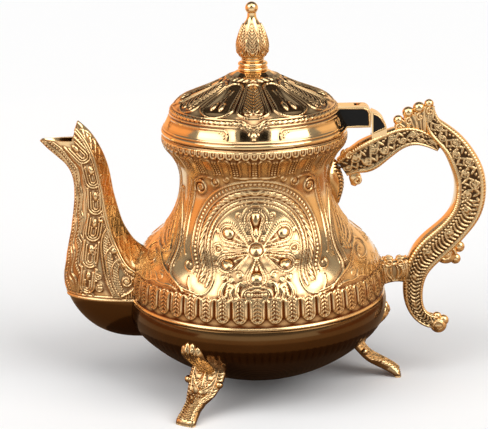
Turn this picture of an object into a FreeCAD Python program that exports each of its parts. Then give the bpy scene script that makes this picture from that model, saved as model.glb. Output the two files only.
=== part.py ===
import FreeCAD
import Part
import math
import os

# Footed metal coffee pot with a hinged lid, an S spout and a cast scroll handle.
# Millimetres. The floor is Z = 0 and the pot's axis is the Z axis. The handle is on +X
# and the spout on -X, so the XZ plane is the plane of symmetry.

# Sheet metal and fits
WALL = 1.0              # pressed sheet of the shell, the bowl and the lid
SPOUT_WALL = 1.2        # sheet of the spout
SOLDER_GAP = 0.05       # room left for solder or thread between pieces of one body
RUNNING_GAP = 0.05      # radial play of the hinge pin in the tongue
LID_GAP = 0.3           # daylight under the closed lid

# Upper shell, a vase shape between the seam, the waist of the neck and the rim
SEAM_Z = 52.0           # joint of the shell and the bowl, above the floor
SEAM_R = 70.0
SHELL_UPRIGHT = 7.0     # straight wall above the seam
NECK_RISE = 66.0        # seam to waist
NECK_R = 41.2
RIM_RISE = 22.5         # waist to the widest part of the rim
RIM_R = 50.3
RIM_LIP = 3.0           # widest part of the rim to the mouth's edge
SHOULDER_SHARE = 0.43   # how much of the S curve is shoulder, the rest is neck
FLARE_SHARE = 0.77      # how much of the upper S curve is neck, the rest is rim
SEAM_BEAD_R = 0.8       # rolled bead along the shell's lower edge

# Lower bowl
BOWL_BULGE = 1.6        # widest bowl beyond the seam
BOWL_WIDEST_DROP = 5.5  # seam to the widest bowl
BOWL_SIDE_ARC = 20.5
BASE_Z = 9.6            # flat underside
BASE_R = 30.0
LAP = 5.0               # collar of the bowl inside the shell
LAP_STEP = 1.5

# Lid, finial and their fixings
LID_H = 32.5            # lid's edge to its crown
LID_HEM_H = 2.8         # rolled hem at the lid's edge
LID_HEM_T = 2.7
CROWN_R = 9.0           # flat seat of the finial's collar
LID_OUTLINE = ((0.985, 0.08), (0.954, 0.165), (0.873, 0.375), (0.801, 0.498), (0.62, 0.622),
               (0.378, 0.745), (0.177, 0.868), (0.0, 1.0))  # shares of the way out and up
SKIRT_PLAY = 1.5        # skirt to the mouth's wall
SKIRT_DROP = 6.0        # skirt below the lid's edge
SKIRT_T = 0.8
COLLAR_R = 8.0
COLLAR_H = 4.9
FINIAL_H = 32.2
BALL_R = 3.45
FINIAL_OUTLINE = ((5.7, 0.0), (5.9, 1.6), (7.3, 4.0), (8.6, 8.0), (7.5, 14.0), (4.8, 20.0), (2.5, 24.0),
                  (2.5, 27.0))
STUD_R = 2.0
STUD_GRIP = 8.0         # stud inside the finial
NUT_FLATS = 7.0
NUT_H = 3.2
LID_WASHER_R = 6.0
WASHER_T = 0.8

# Lid hinge
PIN_OUT = 8.6           # pin's axis beyond the rim
PIN_UP = 8.7            # pin's axis above the mouth's edge
PIN_R = 1.5
KNUCKLE_R = 4.3
HINGE_W = 10.0          # whole width of the hinge
TONGUE_W = 5.2
TONGUE_PLAY = 0.3       # tongue to each ear, and knuckle to the web of the fork
ARM_DROP = 7.7          # pin to the lower edge of the lid's arm
POST_GAP = 0.4          # ears to the post
POST_REACH = 8.2        # length of the post along the handle
POST_FALL = 9.8         # fall of its back to the handle
POST_BROW = (0.62, 0.3) # middle of its back: shares of the reach and of the fall
RIVET_R = 1.2
RIVET_HEAD_R = 2.2
RIVET_HEAD_H = 0.9
RIVET_GRIP = 3.0        # rivet inside the lid's arm
RIVET_SPREAD = 4.6

# Spout: each section lies across the pot's plane of symmetry and runs from the crest of its
# back to its front. Reach is measured from the seam's wall and rise from the seam.
# (crest reach, crest rise, front reach, front rise, ridge share, ridge half width, half width)
SPOUT_SECTIONS = (
    (-14.0, 24.0, -14.0, -25.0, 0.17, 15.5, 18.8),
    (-3.7, 29.7, 6.0, -24.6, 0.24, 15.6, 18.2),
    (1.0, 36.0, 22.0, -18.2, 0.20, 12.8, 16.5),
    (4.1, 42.6, 34.2, -3.4, 0.17, 11.2, 14.0),
    (6.2, 50.5, 37.1, 9.0, 0.17, 10.4, 12.0),
    (8.1, 59.2, 34.6, 25.3, 0.19, 9.8, 10.7),
    (9.2, 67.0, 31.0, 42.6, 0.23, 9.2, 9.5),
    (10.9, 75.1, 29.1, 57.0, 0.27, 8.5, 8.7),
    (13.8, 83.1, 29.7, 68.0, 0.26, 7.6, 7.9),
    (18.4, 91.3, 34.5, 76.5, 0.22, 6.6, 7.0),
    (22.0, 95.5, 40.5, 82.0, 0.18, 6.0, 6.3),
    (27.5, 100.5, 48.0, 90.0, 0.16, 5.4, 5.5),
)
BELLY_SHARE = 0.55      # place of the full half width between crest and front
BROW_SHARE = 0.87       # where the front begins to round off
BROW_WIDTH = 0.64
BROW_TUCK = 0.5         # share of the wall by which the inside is drawn back there
MOUTH_RISE = 88.4       # the beak's lip above the seam
HOOD_FOOT_REACH = 29.0  # foot of the hood behind the lip
HOOD_PEAK_REACH = 25.6
HOOD_PEAK_RISE = 98.7
STRAINER_RISE = 14.5    # centre of the pierced window above the seam
STRAINER_WINDOW_R = 8.0
STRAINER_PLATE_R = 11.0
STRAINER_T = 0.8
STRAINER_HOLE_R = 1.0
STRAINER_PITCH = 2.9
STRAINER_RINGS = 2

# Handle: octagonal sections along its line. A station is a share of the height between seam
# and rim, a distance out from the line that joins their edges, and a width.
HANDLE_STATIONS = (
    (0.80, 0.5, 15.0), (0.835, 6.5, 18.0), (0.865, 13.0, 19.0), (0.92, 23.5, 15.5),
    (0.97, 33.5, 16.0), (0.985, 41.5, 18.0), (0.95, 49.0, 15.0), (0.885, 55.0, 14.3),
    (0.80, 59.0, 16.2), (0.695, 60.7, 17.0), (0.59, 59.3, 17.4), (0.48, 55.0, 17.0),
    (0.395, 48.3, 16.0), (0.31, 39.2, 18.0), (0.235, 30.2, 18.5), (0.14, 22.2, 15.5),
    (0.035, 17.7, 12.0), (-0.07, 17.0, 10.5), (-0.137, 18.6, 9.0), (-0.186, 21.5, 8.2),
    (-0.215, 25.5, 9.0), (-0.228, 30.5, 10.5),
)
HANDLE_START_OUT = 6.3  # arm's end beyond the neck
HANDLE_START_UP = 3.5
HANDLE_START_W = 12.0
HANDLE_DEPTH = 0.78     # depth of a section for its width
BEVEL = 0.27            # bevel of a section for its width
KNOB_R = 6.0            # ball at the tail
# Beads of the crown and the heel, and the curls at the arm's root: share, distance, radius.
CROWN_BEADS = ((1.04, 28.0, 2.8), (1.085, 33.4, 3.3), (1.112, 39.2, 3.4), (1.135, 44.4, 2.6),
               (1.1, 47.4, 2.3))
HEEL_BEADS = ((0.215, 39.0, 6.8), (0.25, 47.0, 3.2), (0.175, 43.6, 3.0))
CROWN_FAN = ((0.94, 48.0), (0.97, 33.5), (0.945, 28.0))  # where the fan under the beads ends
CROWN_FAN_W = 7.0
HANDLE_CURLS = ((0.832, -1.6, 3.4), (0.69, -2.6, 3.6))
CURL_W = 9.0

# Roots of the handle and their screws
LEAF_W = 18.0           # leaf on the neck
LEAF_TOP = 9.5          # above the waist
LEAF_DROP = 17.0        # below the waist
LEAF_BULGE = 8.0
LEAF_WAIST = (0.72, 0.4)  # share of its width at a share of its length below the round
LOWER_ROOT_W = 11.0
LOWER_ROOT_LOW = 2.2    # lower edge above the seam
LOWER_ROOT_H = 14.6
LOWER_ROOT_REACH = 13.5
VOLUTE_R = 2.7
SCREW_R = 2.0
SCREW_HEAD_R = 3.8
SCREW_HEAD_H = 2.4
SCREW_GRIP = 9.0        # thread in the handle
UPPER_SCREW_UP = 5.0    # above the waist
LOWER_SCREW_UP = 11.0   # above the seam
SADDLE_R = 5.5          # washers shaped to the wall inside
SADDLE_T = 1.0

# Feet: a side outline measured in from the toe, and half widths along it
FOOT_COUNT = 3
TOE_REACH = 8.7         # toe beyond the widest bowl
FOOT_TOP = ((36.0, 43.0), (28.0, 29.0), (22.0, 19.5), (16.4, 12.6), (11.9, 10.5), (7.3, 8.2),
            (3.0, 5.2), (0.6, 2.4), (0.0, 0.0))
FOOT_UNDER = ((4.2, 0.0), (5.4, 1.7), (7.3, 2.7), (11.9, 5.1), (16.4, 7.6), (19.8, 10.4),
              (25.6, 17.0), (33.0, 27.0), (42.0, 40.0))
FOOT_WIDTHS = ((-1.0, 5.6), (3.0, 5.8), (8.0, 4.9), (13.0, 5.4), (18.0, 8.2), (24.0, 10.4),
               (28.0, 10.6), (44.0, 10.6))
FOOT_SCREW_IN = 26.6    # where the screw's line leaves the bowl, in from the toe
FOOT_SCREW_R = 1.25
FOOT_SCREW_HEAD_R = 2.6
FOOT_SCREW_HEAD_H = 1.6
FOOT_WASHER_R = 3.6
FOOT_SCREW_GRIP = 6.0

# Places that follow from the sizes above
NECK_Z = SEAM_Z + NECK_RISE
RIM_Z = NECK_Z + RIM_RISE
MOUTH_Z = RIM_Z + RIM_LIP
BOWL_R = SEAM_R + BOWL_BULGE
BOWL_WIDEST_Z = SEAM_Z - BOWL_WIDEST_DROP
LID_R = RIM_R
LID_Z = MOUTH_Z + LID_GAP
CROWN_Z = LID_Z + LID_H
COLLAR_TOP_Z = CROWN_Z + COLLAR_H
TOE_R = BOWL_R + TOE_REACH
UPPER_SCREW_TIP = NECK_R + HANDLE_START_OUT + SCREW_GRIP
LOWER_SCREW_TIP = SEAM_R + LOWER_ROOT_REACH + SCREW_GRIP

ORIGIN = FreeCAD.Vector(0, 0, 0)
AXIS_X = FreeCAD.Vector(1, 0, 0)
AXIS_Y = FreeCAD.Vector(0, 1, 0)
AXIS_Z = FreeCAD.Vector(0, 0, 1)
FAR = 400.0


def at(x, z, y=0.0):
    return FreeCAD.Vector(x, y, z)


PIN_AXIS = at(RIM_R + PIN_OUT, MOUTH_Z + PIN_UP)


def line(start, end):
    return Part.makeLine(start, end)


def arc(centre, radius, start, end):
    """Arc about a centre from one direction to another, the short way round."""
    middle = (start + end).normalize()
    return Part.Arc(centre + start * radius, centre + middle * radius, centre + end * radius).toShape()


def spline(points):
    curve = Part.BSplineCurve()
    curve.interpolate(points)
    return curve


def closed_splines(there, back):
    """Two smooth edges joined at both ends by straight ones."""
    ends = [line(there[-1], back[0]), line(back[-1], there[0])]
    return [spline(there).toShape(), ends[0], spline(back).toShape(), ends[1]]


def lathe(edges):
    """Solid turned about the pot's axis from a closed outline in the XZ plane."""
    return Part.Face(Part.Wire(edges)).revolve(ORIGIN, AXIS_Z, 360)


def filled(edges, low, high):
    """Solid of revolution under an open outline that runs from low to high."""
    closing = [line(high, at(0, high.z)), line(at(0, high.z), at(0, low.z)), line(at(0, low.z), low)]
    return lathe(edges + closing)


def slab(points, width):
    """Closed outline in the XZ plane, extruded evenly to both sides of that plane."""
    edges = [line(a, b) for a, b in zip(points, points[1:] + points[:1])]
    return plate(edges, width)


def plate(edges, width):
    face = Part.Face(Part.Wire(edges))
    face.translate(at(0, 0, -width / 2))
    return face.extrude(at(0, 0, width))


def rod(start, direction, radius, length):
    return Part.makeCylinder(radius, length, start, direction)


def crosswise_rod(centre, radius, width):
    """Round bar across the plane of symmetry."""
    return rod(centre - AXIS_Y * (width / 2), AXIS_Y, radius, width)


def s_curve(low, high, low_share, inset):
    """Two tangent arcs between two upright ends, moved towards the axis by inset."""
    across = low.x - high.x
    side = math.copysign(1.0, across)
    radii = (across ** 2 + (high.z - low.z) ** 2) / (2 * abs(across))
    low_radius = radii * low_share
    high_radius = radii - low_radius
    low_centre = low - AXIS_X * (side * low_radius)
    high_centre = high + AXIS_X * (side * high_radius)
    turn = (high_centre - low_centre).normalize()
    outward = AXIS_X * side
    first = arc(low_centre, low_radius - side * inset, outward, turn)
    second = arc(high_centre, high_radius + side * inset, turn * -1, outward * -1)
    return [first, second], high_centre, high_radius


def shell_outline(inset):
    """Outline of the upper shell from the seam to the mouth, and its two ends."""
    foot = at(SEAM_R, SEAM_Z)
    shoulder = at(SEAM_R, SEAM_Z + SHELL_UPRIGHT)
    waist = at(NECK_R, NECK_Z)
    rim = at(RIM_R, RIM_Z)
    inward = AXIS_X * -inset
    lower, _, _ = s_curve(shoulder, waist, SHOULDER_SHARE, inset)
    upper, rim_centre, rim_radius = s_curve(waist, rim, FLARE_SHARE, inset)
    lip_radius = rim_radius - inset
    lip_turn = math.asin(RIM_LIP / lip_radius)
    lip = arc(rim_centre, lip_radius, AXIS_X, at(math.cos(lip_turn), math.sin(lip_turn)))
    edges = [line(foot + inward, shoulder + inward)] + lower + upper + [lip]
    return edges, foot + inward, at(rim_centre.x + lip_radius * math.cos(lip_turn), MOUTH_Z)


def bowl_bottom_arc():
    """Centre height and radius of the arc from the flat base to the bowl's side."""
    out = BOWL_R - BOWL_SIDE_ARC
    lift = BOWL_WIDEST_Z - BASE_Z
    # radius = offset + slope * (height above the base), from tangency with the side arc
    slope = lift / BOWL_SIDE_ARC
    offset = (BASE_R ** 2 + BOWL_SIDE_ARC ** 2 - out ** 2 - lift ** 2) / (2 * BOWL_SIDE_ARC)
    a = slope ** 2 - 1
    b = 2 * slope * offset
    c = offset ** 2 - BASE_R ** 2
    height = (-b + math.sqrt(b ** 2 - 4 * a * c)) / (2 * a)
    if height < lift:
        height = (-b - math.sqrt(b ** 2 - 4 * a * c)) / (2 * a)
    return BASE_Z + height, offset + slope * height


def bowl_outline(inset, top_z):
    """Outline of the bowl from its flat base to a height near the seam, and its two ends."""
    bottom_z, bottom_radius = bowl_bottom_arc()
    bottom_centre = at(0, bottom_z)
    side_centre = at(BOWL_R - BOWL_SIDE_ARC, BOWL_WIDEST_Z)
    turn = (side_centre - bottom_centre).normalize()
    reach = bottom_radius - inset
    base_z = BASE_Z + inset
    base_r = math.sqrt(reach ** 2 - (bottom_z - base_z) ** 2)
    base_turn = (at(base_r, base_z) - bottom_centre).normalize()
    side = BOWL_SIDE_ARC - inset
    climb = math.asin((top_z - BOWL_WIDEST_Z) / side)
    top_turn = at(math.cos(climb), math.sin(climb))
    edges = [arc(bottom_centre, reach, base_turn, turn), arc(side_centre, side, turn, top_turn)]
    return edges, at(base_r, base_z), side_centre + top_turn * side


def backwards(edges):
    """The same outline run from its end to its start."""
    return [edge.reversed() for edge in reversed(edges)]


def seam_bead():
    return Part.makeTorus(SEAM_R, SEAM_BEAD_R, at(0, SEAM_Z + SEAM_BEAD_R), AXIS_Z)


def pot_core():
    """Everything inside the pot's outer skin: what is fixed to the skin is cut by this."""
    shell, shell_low, shell_high = shell_outline(0)
    bowl, bowl_low, bowl_high = bowl_outline(0, SEAM_Z)
    upper = filled(shell, shell_low, shell_high).fuse(seam_bead())
    return upper, filled(bowl, bowl_low, bowl_high)


def shell_cavity():
    """The space inside the shell's wall, which shapes the handle's washers."""
    edges, low, high = shell_outline(WALL + SOLDER_GAP)
    return filled(edges, low, high)


def bowl_cavity():
    """The space inside the bowl's wall, which shapes the washers of the feet."""
    edges, low, high = bowl_outline(WALL + SOLDER_GAP, SEAM_Z - LAP_STEP)
    return filled(edges, low, high)


def shell_radius(z):
    """Radius of the space inside the shell's wall at a height."""
    wall = Part.Wire(shell_outline(WALL + SOLDER_GAP)[0])
    level = line(at(0, z), at(FAR, z))
    return wall.distToShape(level)[1][0][0].x


def upper_screw_start():
    return at(0, NECK_Z + UPPER_SCREW_UP)


def lower_screw_start():
    return at(0, SEAM_Z + LOWER_SCREW_UP)


def strainer_centre():
    return at(-FAR, SEAM_Z + STRAINER_RISE)


def upper_shell():
    outer, outer_low, outer_high = shell_outline(0)
    inner, inner_low, inner_high = shell_outline(WALL)
    edges = outer + [line(outer_high, inner_high)] + backwards(inner) + [line(inner_low, outer_low)]
    shell = lathe(edges).fuse(seam_bead())
    holes = [rod(start, AXIS_X, SCREW_R + SOLDER_GAP, FAR)
             for start in (upper_screw_start(), lower_screw_start())]
    window = rod(strainer_centre(), AXIS_X, STRAINER_WINDOW_R, FAR)
    return shell.cut(Part.makeCompound(holes + [window]))


def lower_bowl():
    outer, outer_low, outer_high = bowl_outline(0, SEAM_Z)
    inner, inner_low, inner_high = bowl_outline(WALL, SEAM_Z - LAP_STEP)
    collar_out = SEAM_R - WALL - SOLDER_GAP
    collar_in = collar_out - WALL
    corners = [outer_high, at(collar_out, SEAM_Z), at(collar_out, SEAM_Z + LAP),
               at(collar_in, SEAM_Z + LAP), at(collar_in, SEAM_Z - LAP_STEP), inner_high]
    rim = [line(a, b) for a, b in zip(corners, corners[1:])]
    floor_in = at(0, inner_low.z)
    floor_out = at(0, outer_low.z)
    floor = [line(inner_low, floor_in), line(floor_in, floor_out), line(floor_out, outer_low)]
    bowl = lathe(outer + rim + backwards(inner) + floor)
    holes = [foot_screw_rod(turn, FOOT_SCREW_R + SOLDER_GAP, -FOOT_SCREW_GRIP, FOOT_SCREW_GRIP)
             for turn in foot_turns()]
    return bowl.cut(Part.makeCompound(holes))


def spout_section(row):
    """Outer and inner points of one section: crest, ridge and the round of the front."""
    crest_out, crest_up, front_out, front_up, ridge_share, ridge_half, half = row
    crest = at(-SEAM_R - crest_out, SEAM_Z + crest_up)
    front = at(-SEAM_R - front_out, SEAM_Z + front_up)
    run = front - crest
    step = FreeCAD.Vector(run).normalize() * SPOUT_WALL
    shares = (ridge_share, BELLY_SHARE, BROW_SHARE)
    halves = (ridge_half, half, half * BROW_WIDTH)
    outer = [crest] + [crest + run * s + AXIS_Y * h for s, h in zip(shares, halves)] + [front]
    inner = [crest + step]
    inner += [crest + run * s + AXIS_Y * (h - SPOUT_WALL) for s, h in zip(shares, halves)]
    inner[-1] = inner[-1] - step * BROW_TUCK
    inner += [front - step]
    return outer, inner


def mirrored(p):
    return FreeCAD.Vector(p.x, -p.y, p.z)


def trough_edges(side):
    """Round of the front from one ridge to the other."""
    half = side[1:]
    return spline(half + [mirrored(p) for p in reversed(half[:-1])])


def trough_wire(row):
    outer, inner = spout_section(row)
    near_cap = line(mirrored(outer[1]), mirrored(inner[1]))
    far_cap = line(inner[1], outer[1])
    back = trough_edges(inner)
    back.reverse()
    return Part.Wire([trough_edges(outer).toShape(), near_cap, back.toShape(), far_cap])


def gable_wire(row):
    outer, inner = spout_section(row)
    corners = [outer[1], outer[0], mirrored(outer[1]), mirrored(inner[1]), inner[0], inner[1]]
    return Part.makePolygon(corners + corners[:1])


def spout_loft(wire_of_row):
    return Part.makeLoft([wire_of_row(row) for row in SPOUT_SECTIONS], True, False)


def mouth_cut():
    """Everything above the beak's lip and in front of the hood."""
    lip_z = SEAM_Z + MOUTH_RISE
    peak_z = SEAM_Z + HOOD_PEAK_RISE
    corners = [at(-FAR, lip_z), at(-SEAM_R - HOOD_FOOT_REACH, lip_z),
               at(-SEAM_R - HOOD_PEAK_REACH, peak_z), at(-SEAM_R - HOOD_PEAK_REACH, FAR), at(-FAR, FAR)]
    return slab(corners, FAR)


def half_space(low_z, high_z):
    return Part.makeBox(2 * FAR, 2 * FAR, high_z - low_z, at(-FAR, low_z, -FAR))


def spout_pieces(cores):
    """Front trough, gabled back and the keel under the seam."""
    upper_core, bowl_core = cores
    trough = spout_loft(trough_wire).cut(mouth_cut())
    gable = spout_loft(gable_wire).cut(mouth_cut()).cut(upper_core)
    front = trough.common(half_space(SEAM_Z, FAR)).cut(upper_core)
    keel = trough.common(half_space(-FAR, SEAM_Z)).cut(bowl_core)
    return {"spout_trough": outermost(front), "spout_gable": outermost(gable),
            "spout_keel": outermost(keel)}


def outermost(shape):
    """The solid that reaches furthest out, once the wall has cut the rest away."""
    return min(shape.Solids, key=lambda solid: solid.BoundBox.XMin)


def spout_strainer():
    """Pierced plate shaped to the shell's inner wall, behind the window."""
    outer, outer_low, outer_high = shell_outline(WALL + SOLDER_GAP)
    inner, inner_low, inner_high = shell_outline(WALL + SOLDER_GAP + STRAINER_T)
    sheet = lathe(outer + [line(outer_high, inner_high)] + backwards(inner) + [line(inner_low, outer_low)])
    centre = strainer_centre()
    disc = rod(centre, AXIS_X, STRAINER_PLATE_R, FAR).common(half_space(SEAM_Z + LAP + SOLDER_GAP, FAR))
    holes = [rod(centre, AXIS_X, STRAINER_HOLE_R, FAR)]
    for ring in range(1, STRAINER_RINGS + 1):
        count = 6 * ring
        for k in range(count):
            turn = 2 * math.pi * k / count
            offset = at(0, ring * STRAINER_PITCH * math.sin(turn), ring * STRAINER_PITCH * math.cos(turn))
            holes.append(rod(centre + offset, AXIS_X, STRAINER_HOLE_R, FAR))
    return sheet.common(disc).cut(Part.makeCompound(holes))


def beside_pot(share, out):
    """Point beside the pot: a share of the way from seam to rim, and out from that line."""
    return at(SEAM_R + share_to_rim(share) * (RIM_R - SEAM_R) + out, SEAM_Z + share * (MOUTH_Z - SEAM_Z))


def share_to_rim(share):
    return min(max(share, 0.0), 1.0)


def handle_line():
    """Stations of the handle as points and widths, from the neck to the tail."""
    start = at(NECK_R + HANDLE_START_OUT, NECK_Z + HANDLE_START_UP)
    rows = [(start, HANDLE_START_W)]
    rows += [(beside_pot(share, out), width) for share, out, width in HANDLE_STATIONS]
    return rows


def octagon(centre, across, width):
    """Section of the handle: an octagon across its line."""
    half = width / 2
    depth = half * HANDLE_DEPTH
    bevel = width * BEVEL
    flat = half - bevel
    edge = depth - bevel
    corners = [(half, -edge), (half, edge), (flat, depth), (-flat, depth),
               (-half, edge), (-half, -edge), (-flat, -depth), (flat, -depth)]
    points = [centre + across * u + AXIS_Y * v for u, v in corners]
    return Part.makePolygon(points + points[:1])


def handle():
    rows = handle_line()
    centres = [point for point, _ in rows]
    path = spline(centres)
    sections = []
    for point, width in rows:
        tangent = path.tangent(path.parameter(point))[0]
        across = tangent.cross(AXIS_Y).normalize()
        sections.append(octagon(point, across, width))
    body = Part.makeLoft(sections, True, False)
    beads = CROWN_BEADS + HEEL_BEADS
    extras = [Part.makeSphere(radius, beside_pot(share, out)) for share, out, radius in beads]
    extras.append(Part.makeSphere(KNOB_R, centres[-1]))
    extras += [crosswise_rod(beside_pot(share, out), radius, CURL_W) for share, out, radius in HANDLE_CURLS]
    fan = [beside_pot(share, out) for share, out, _ in CROWN_BEADS]
    fan += [beside_pot(share, out) for share, out in CROWN_FAN]
    body = body.fuse(extras + [slab(fan, CROWN_FAN_W)])
    cores = Part.makeCompound(list(pot_core()))
    upper = rod(upper_screw_start(), AXIS_X, SCREW_R + SOLDER_GAP, UPPER_SCREW_TIP + SOLDER_GAP)
    lower = rod(lower_screw_start(), AXIS_X, SCREW_R + SOLDER_GAP, LOWER_SCREW_TIP + SOLDER_GAP)
    return body.cut(cores).cut(Part.makeCompound([upper, lower]))


def handle_upper_root(cores, cast_handle):
    """Leaf-shaped pad on the neck that takes the end of the handle's arm."""
    low_z = NECK_Z - LEAF_DROP
    high_z = NECK_Z + LEAF_TOP
    middle_z = (low_z + high_z) / 2
    back_x = NECK_R / 2
    tip_x = NECK_R + WALL
    face = [Part.Arc(at(tip_x, low_z), at(NECK_R + LEAF_BULGE, middle_z), at(tip_x, high_z)).toShape(),
            line(at(tip_x, high_z), at(back_x, high_z)), line(at(back_x, high_z), at(back_x, low_z)),
            line(at(back_x, low_z), at(tip_x, low_z))]
    pad = plate(face, LEAF_W)
    half = LEAF_W / 2
    full_z = high_z - half
    waist_share, waist_up = LEAF_WAIST
    waist = at(0, low_z + (full_z - low_z) * waist_up, half * waist_share)
    side = at(0, full_z, half)
    foot = at(0, low_z)
    outline = [Part.Arc(mirrored(side), at(0, high_z), side).toShape(),
               spline([side, waist, foot]).toShape(),
               spline([foot, mirrored(waist), mirrored(side)]).toShape()]
    leaf = Part.Face(Part.Wire(outline)).extrude(at(FAR, 0))
    hole = rod(upper_screw_start(), AXIS_X, SCREW_R + SOLDER_GAP, FAR)
    return largest(pad.common(leaf).cut(cores[0]).cut(cast_handle).cut(hole))


def handle_lower_root(cores, cast_handle):
    """Bracket with two volutes between the pot's side and the handle's heel."""
    low_z = SEAM_Z + LOWER_ROOT_LOW
    high_z = low_z + LOWER_ROOT_H
    back_x = SEAM_R / 2
    tip_x = SEAM_R + LOWER_ROOT_REACH
    waist_x = SEAM_R + LOWER_ROOT_REACH / 2
    block = [line(at(back_x, low_z), at(SEAM_R, low_z)),
             Part.Arc(at(SEAM_R, low_z), at(waist_x, low_z + VOLUTE_R / 2), at(tip_x, low_z)).toShape(),
             line(at(tip_x, low_z), at(tip_x, high_z)), line(at(tip_x, high_z), at(back_x, high_z)),
             line(at(back_x, high_z), at(back_x, low_z))]
    volutes = [crosswise_rod(at(waist_x + side * (LOWER_ROOT_REACH / 2 - VOLUTE_R), high_z), VOLUTE_R,
                             LOWER_ROOT_W) for side in (-1, 1)]
    bracket = plate(block, LOWER_ROOT_W).fuse(volutes)
    hole = rod(lower_screw_start(), AXIS_X, SCREW_R + SOLDER_GAP, FAR)
    return largest(bracket.cut(cores[0]).cut(cast_handle).cut(hole))


def largest(shape):
    return max(shape.Solids, key=lambda solid: solid.Volume)


def saddle_washer(start, cavity):
    """Washer shaped to the wall inside, and how far out its flat side is."""
    narrowest = min(shell_radius(start.z + lift) for lift in (-SADDLE_R, 0, SADDLE_R))
    flat_x = math.sqrt(narrowest ** 2 - SADDLE_R ** 2) - SADDLE_T
    disc = rod(at(flat_x, start.z), AXIS_X, SADDLE_R, FAR).common(cavity)
    return disc.cut(rod(start, AXIS_X, SCREW_R + SOLDER_GAP, FAR)), flat_x


def handle_screw(start, flat_x, tip_x):
    head = rod(at(flat_x - SCREW_HEAD_H, start.z), AXIS_X, SCREW_HEAD_R, SCREW_HEAD_H)
    shank = rod(at(flat_x - SCREW_HEAD_H, start.z), AXIS_X, SCREW_R, tip_x - flat_x + SCREW_HEAD_H)
    return head.fuse(shank).removeSplitter()


def handle_fixings():
    """Both handle screws with their saddle washers."""
    cavity = shell_cavity()
    upper_washer, upper_flat = saddle_washer(upper_screw_start(), cavity)
    lower_washer, lower_flat = saddle_washer(lower_screw_start(), cavity)
    return {"handle_upper_screw": handle_screw(upper_screw_start(), upper_flat, UPPER_SCREW_TIP),
            "handle_lower_screw": handle_screw(lower_screw_start(), lower_flat, LOWER_SCREW_TIP),
            "handle_washers": Part.makeCompound([upper_washer, lower_washer])}


def foot_turns():
    return [360.0 * k / FOOT_COUNT for k in range(FOOT_COUNT)]


def turned(shape, degrees):
    copy = shape.copy()
    copy.rotate(ORIGIN, AXIS_Z, degrees)
    return copy


def foot_screw_rod(turn, radius, start, end):
    """Rod square to the bowl at a foot, between two distances out from the bowl's skin."""
    bottom_z, bottom_radius = bowl_bottom_arc()
    centre = at(0, bottom_z)
    out = TOE_R - FOOT_SCREW_IN
    direction = at(out, -math.sqrt(bottom_radius ** 2 - out ** 2)).normalize()
    base = centre + direction * (bottom_radius + start)
    return turned(rod(base, direction, radius, end - start), turn)


def foot(turn, bowl_core):
    """S-shaped cast leg, cut to the bowl's skin."""
    top = [at(TOE_R - inset, rise) for inset, rise in FOOT_TOP]
    under = [at(TOE_R - inset, rise) for inset, rise in FOOT_UNDER]
    leg = plate(closed_splines(top, under), FAR)
    right = [FreeCAD.Vector(TOE_R - inset, half, 0) for inset, half in FOOT_WIDTHS]
    left = [mirrored(p) for p in reversed(right)]
    width = Part.Face(Part.Wire(closed_splines(right, left))).extrude(at(0, FAR))
    cast = largest(leg.common(width).cut(bowl_core))
    hole = foot_screw_rod(0, FOOT_SCREW_R + SOLDER_GAP, -WALL, FOOT_SCREW_GRIP + SOLDER_GAP)
    return turned(cast.cut(hole), turn)


def foot_washer(turn, cavity):
    """Washer shaped to the bowl inside, flat on its screw's side."""
    seat = -WALL - SOLDER_GAP - WASHER_T
    disc = foot_screw_rod(turn, FOOT_WASHER_R, seat, 0).common(cavity)
    return disc.cut(foot_screw_rod(turn, FOOT_SCREW_R + SOLDER_GAP, seat, 0))


def foot_screw(turn):
    seat = -WALL - SOLDER_GAP - WASHER_T
    head = foot_screw_rod(turn, FOOT_SCREW_HEAD_R, seat - FOOT_SCREW_HEAD_H, seat)
    shank = foot_screw_rod(turn, FOOT_SCREW_R, seat - FOOT_SCREW_HEAD_H, FOOT_SCREW_GRIP)
    return head.fuse(shank).removeSplitter()


def lid_points(inset):
    """Outline of the dome from its hem to its crown, moved inwards by inset."""
    points = [at(CROWN_R + (LID_R - CROWN_R) * out, LID_Z + LID_H * up) for out, up in LID_OUTLINE]
    curve = spline(points)
    moved = []
    for point in points:
        tangent = curve.tangent(curve.parameter(point))[0]
        moved.append(point + AXIS_Y.cross(tangent).normalize() * -inset)
    moved[-1] = at(CROWN_R, CROWN_Z - inset)
    return moved


def lid_skin():
    """Solid under the lid's outer skin, which shapes what is fixed to the lid."""
    points = lid_points(0)
    return filled([spline(points).toShape()], points[0], points[-1])


def lid_hem():
    """Rolled hem: half round outside, upright inside."""
    inner = LID_R - LID_HEM_T
    round_start = LID_R - LID_HEM_H / 2
    top = LID_Z + LID_HEM_H
    nose = at(LID_R, LID_Z + LID_HEM_H / 2)
    edges = [line(at(inner, LID_Z), at(round_start, LID_Z)),
             Part.Arc(at(round_start, LID_Z), nose, at(round_start, top)).toShape(),
             line(at(round_start, top), at(inner, top)), line(at(inner, top), at(inner, LID_Z))]
    return lathe(edges)


def lid_dome():
    outer = lid_points(0)
    inner = lid_points(WALL)
    hole_r = STUD_R + SOLDER_GAP
    corners = [outer[-1], at(hole_r, CROWN_Z), at(hole_r, CROWN_Z - WALL), inner[-1]]
    crown = [line(a, b) for a, b in zip(corners, corners[1:])]
    back = spline(list(reversed(inner))).toShape()
    dome = lathe([spline(outer).toShape()] + crown + [back, line(inner[0], outer[0])])
    dome = turned(dome, 90).fuse(turned(lid_hem(), 90))
    for start in rivet_starts():
        dome = dome.cut(rod(start, AXIS_X, RIVET_R + SOLDER_GAP, FAR))
    return dome


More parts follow.
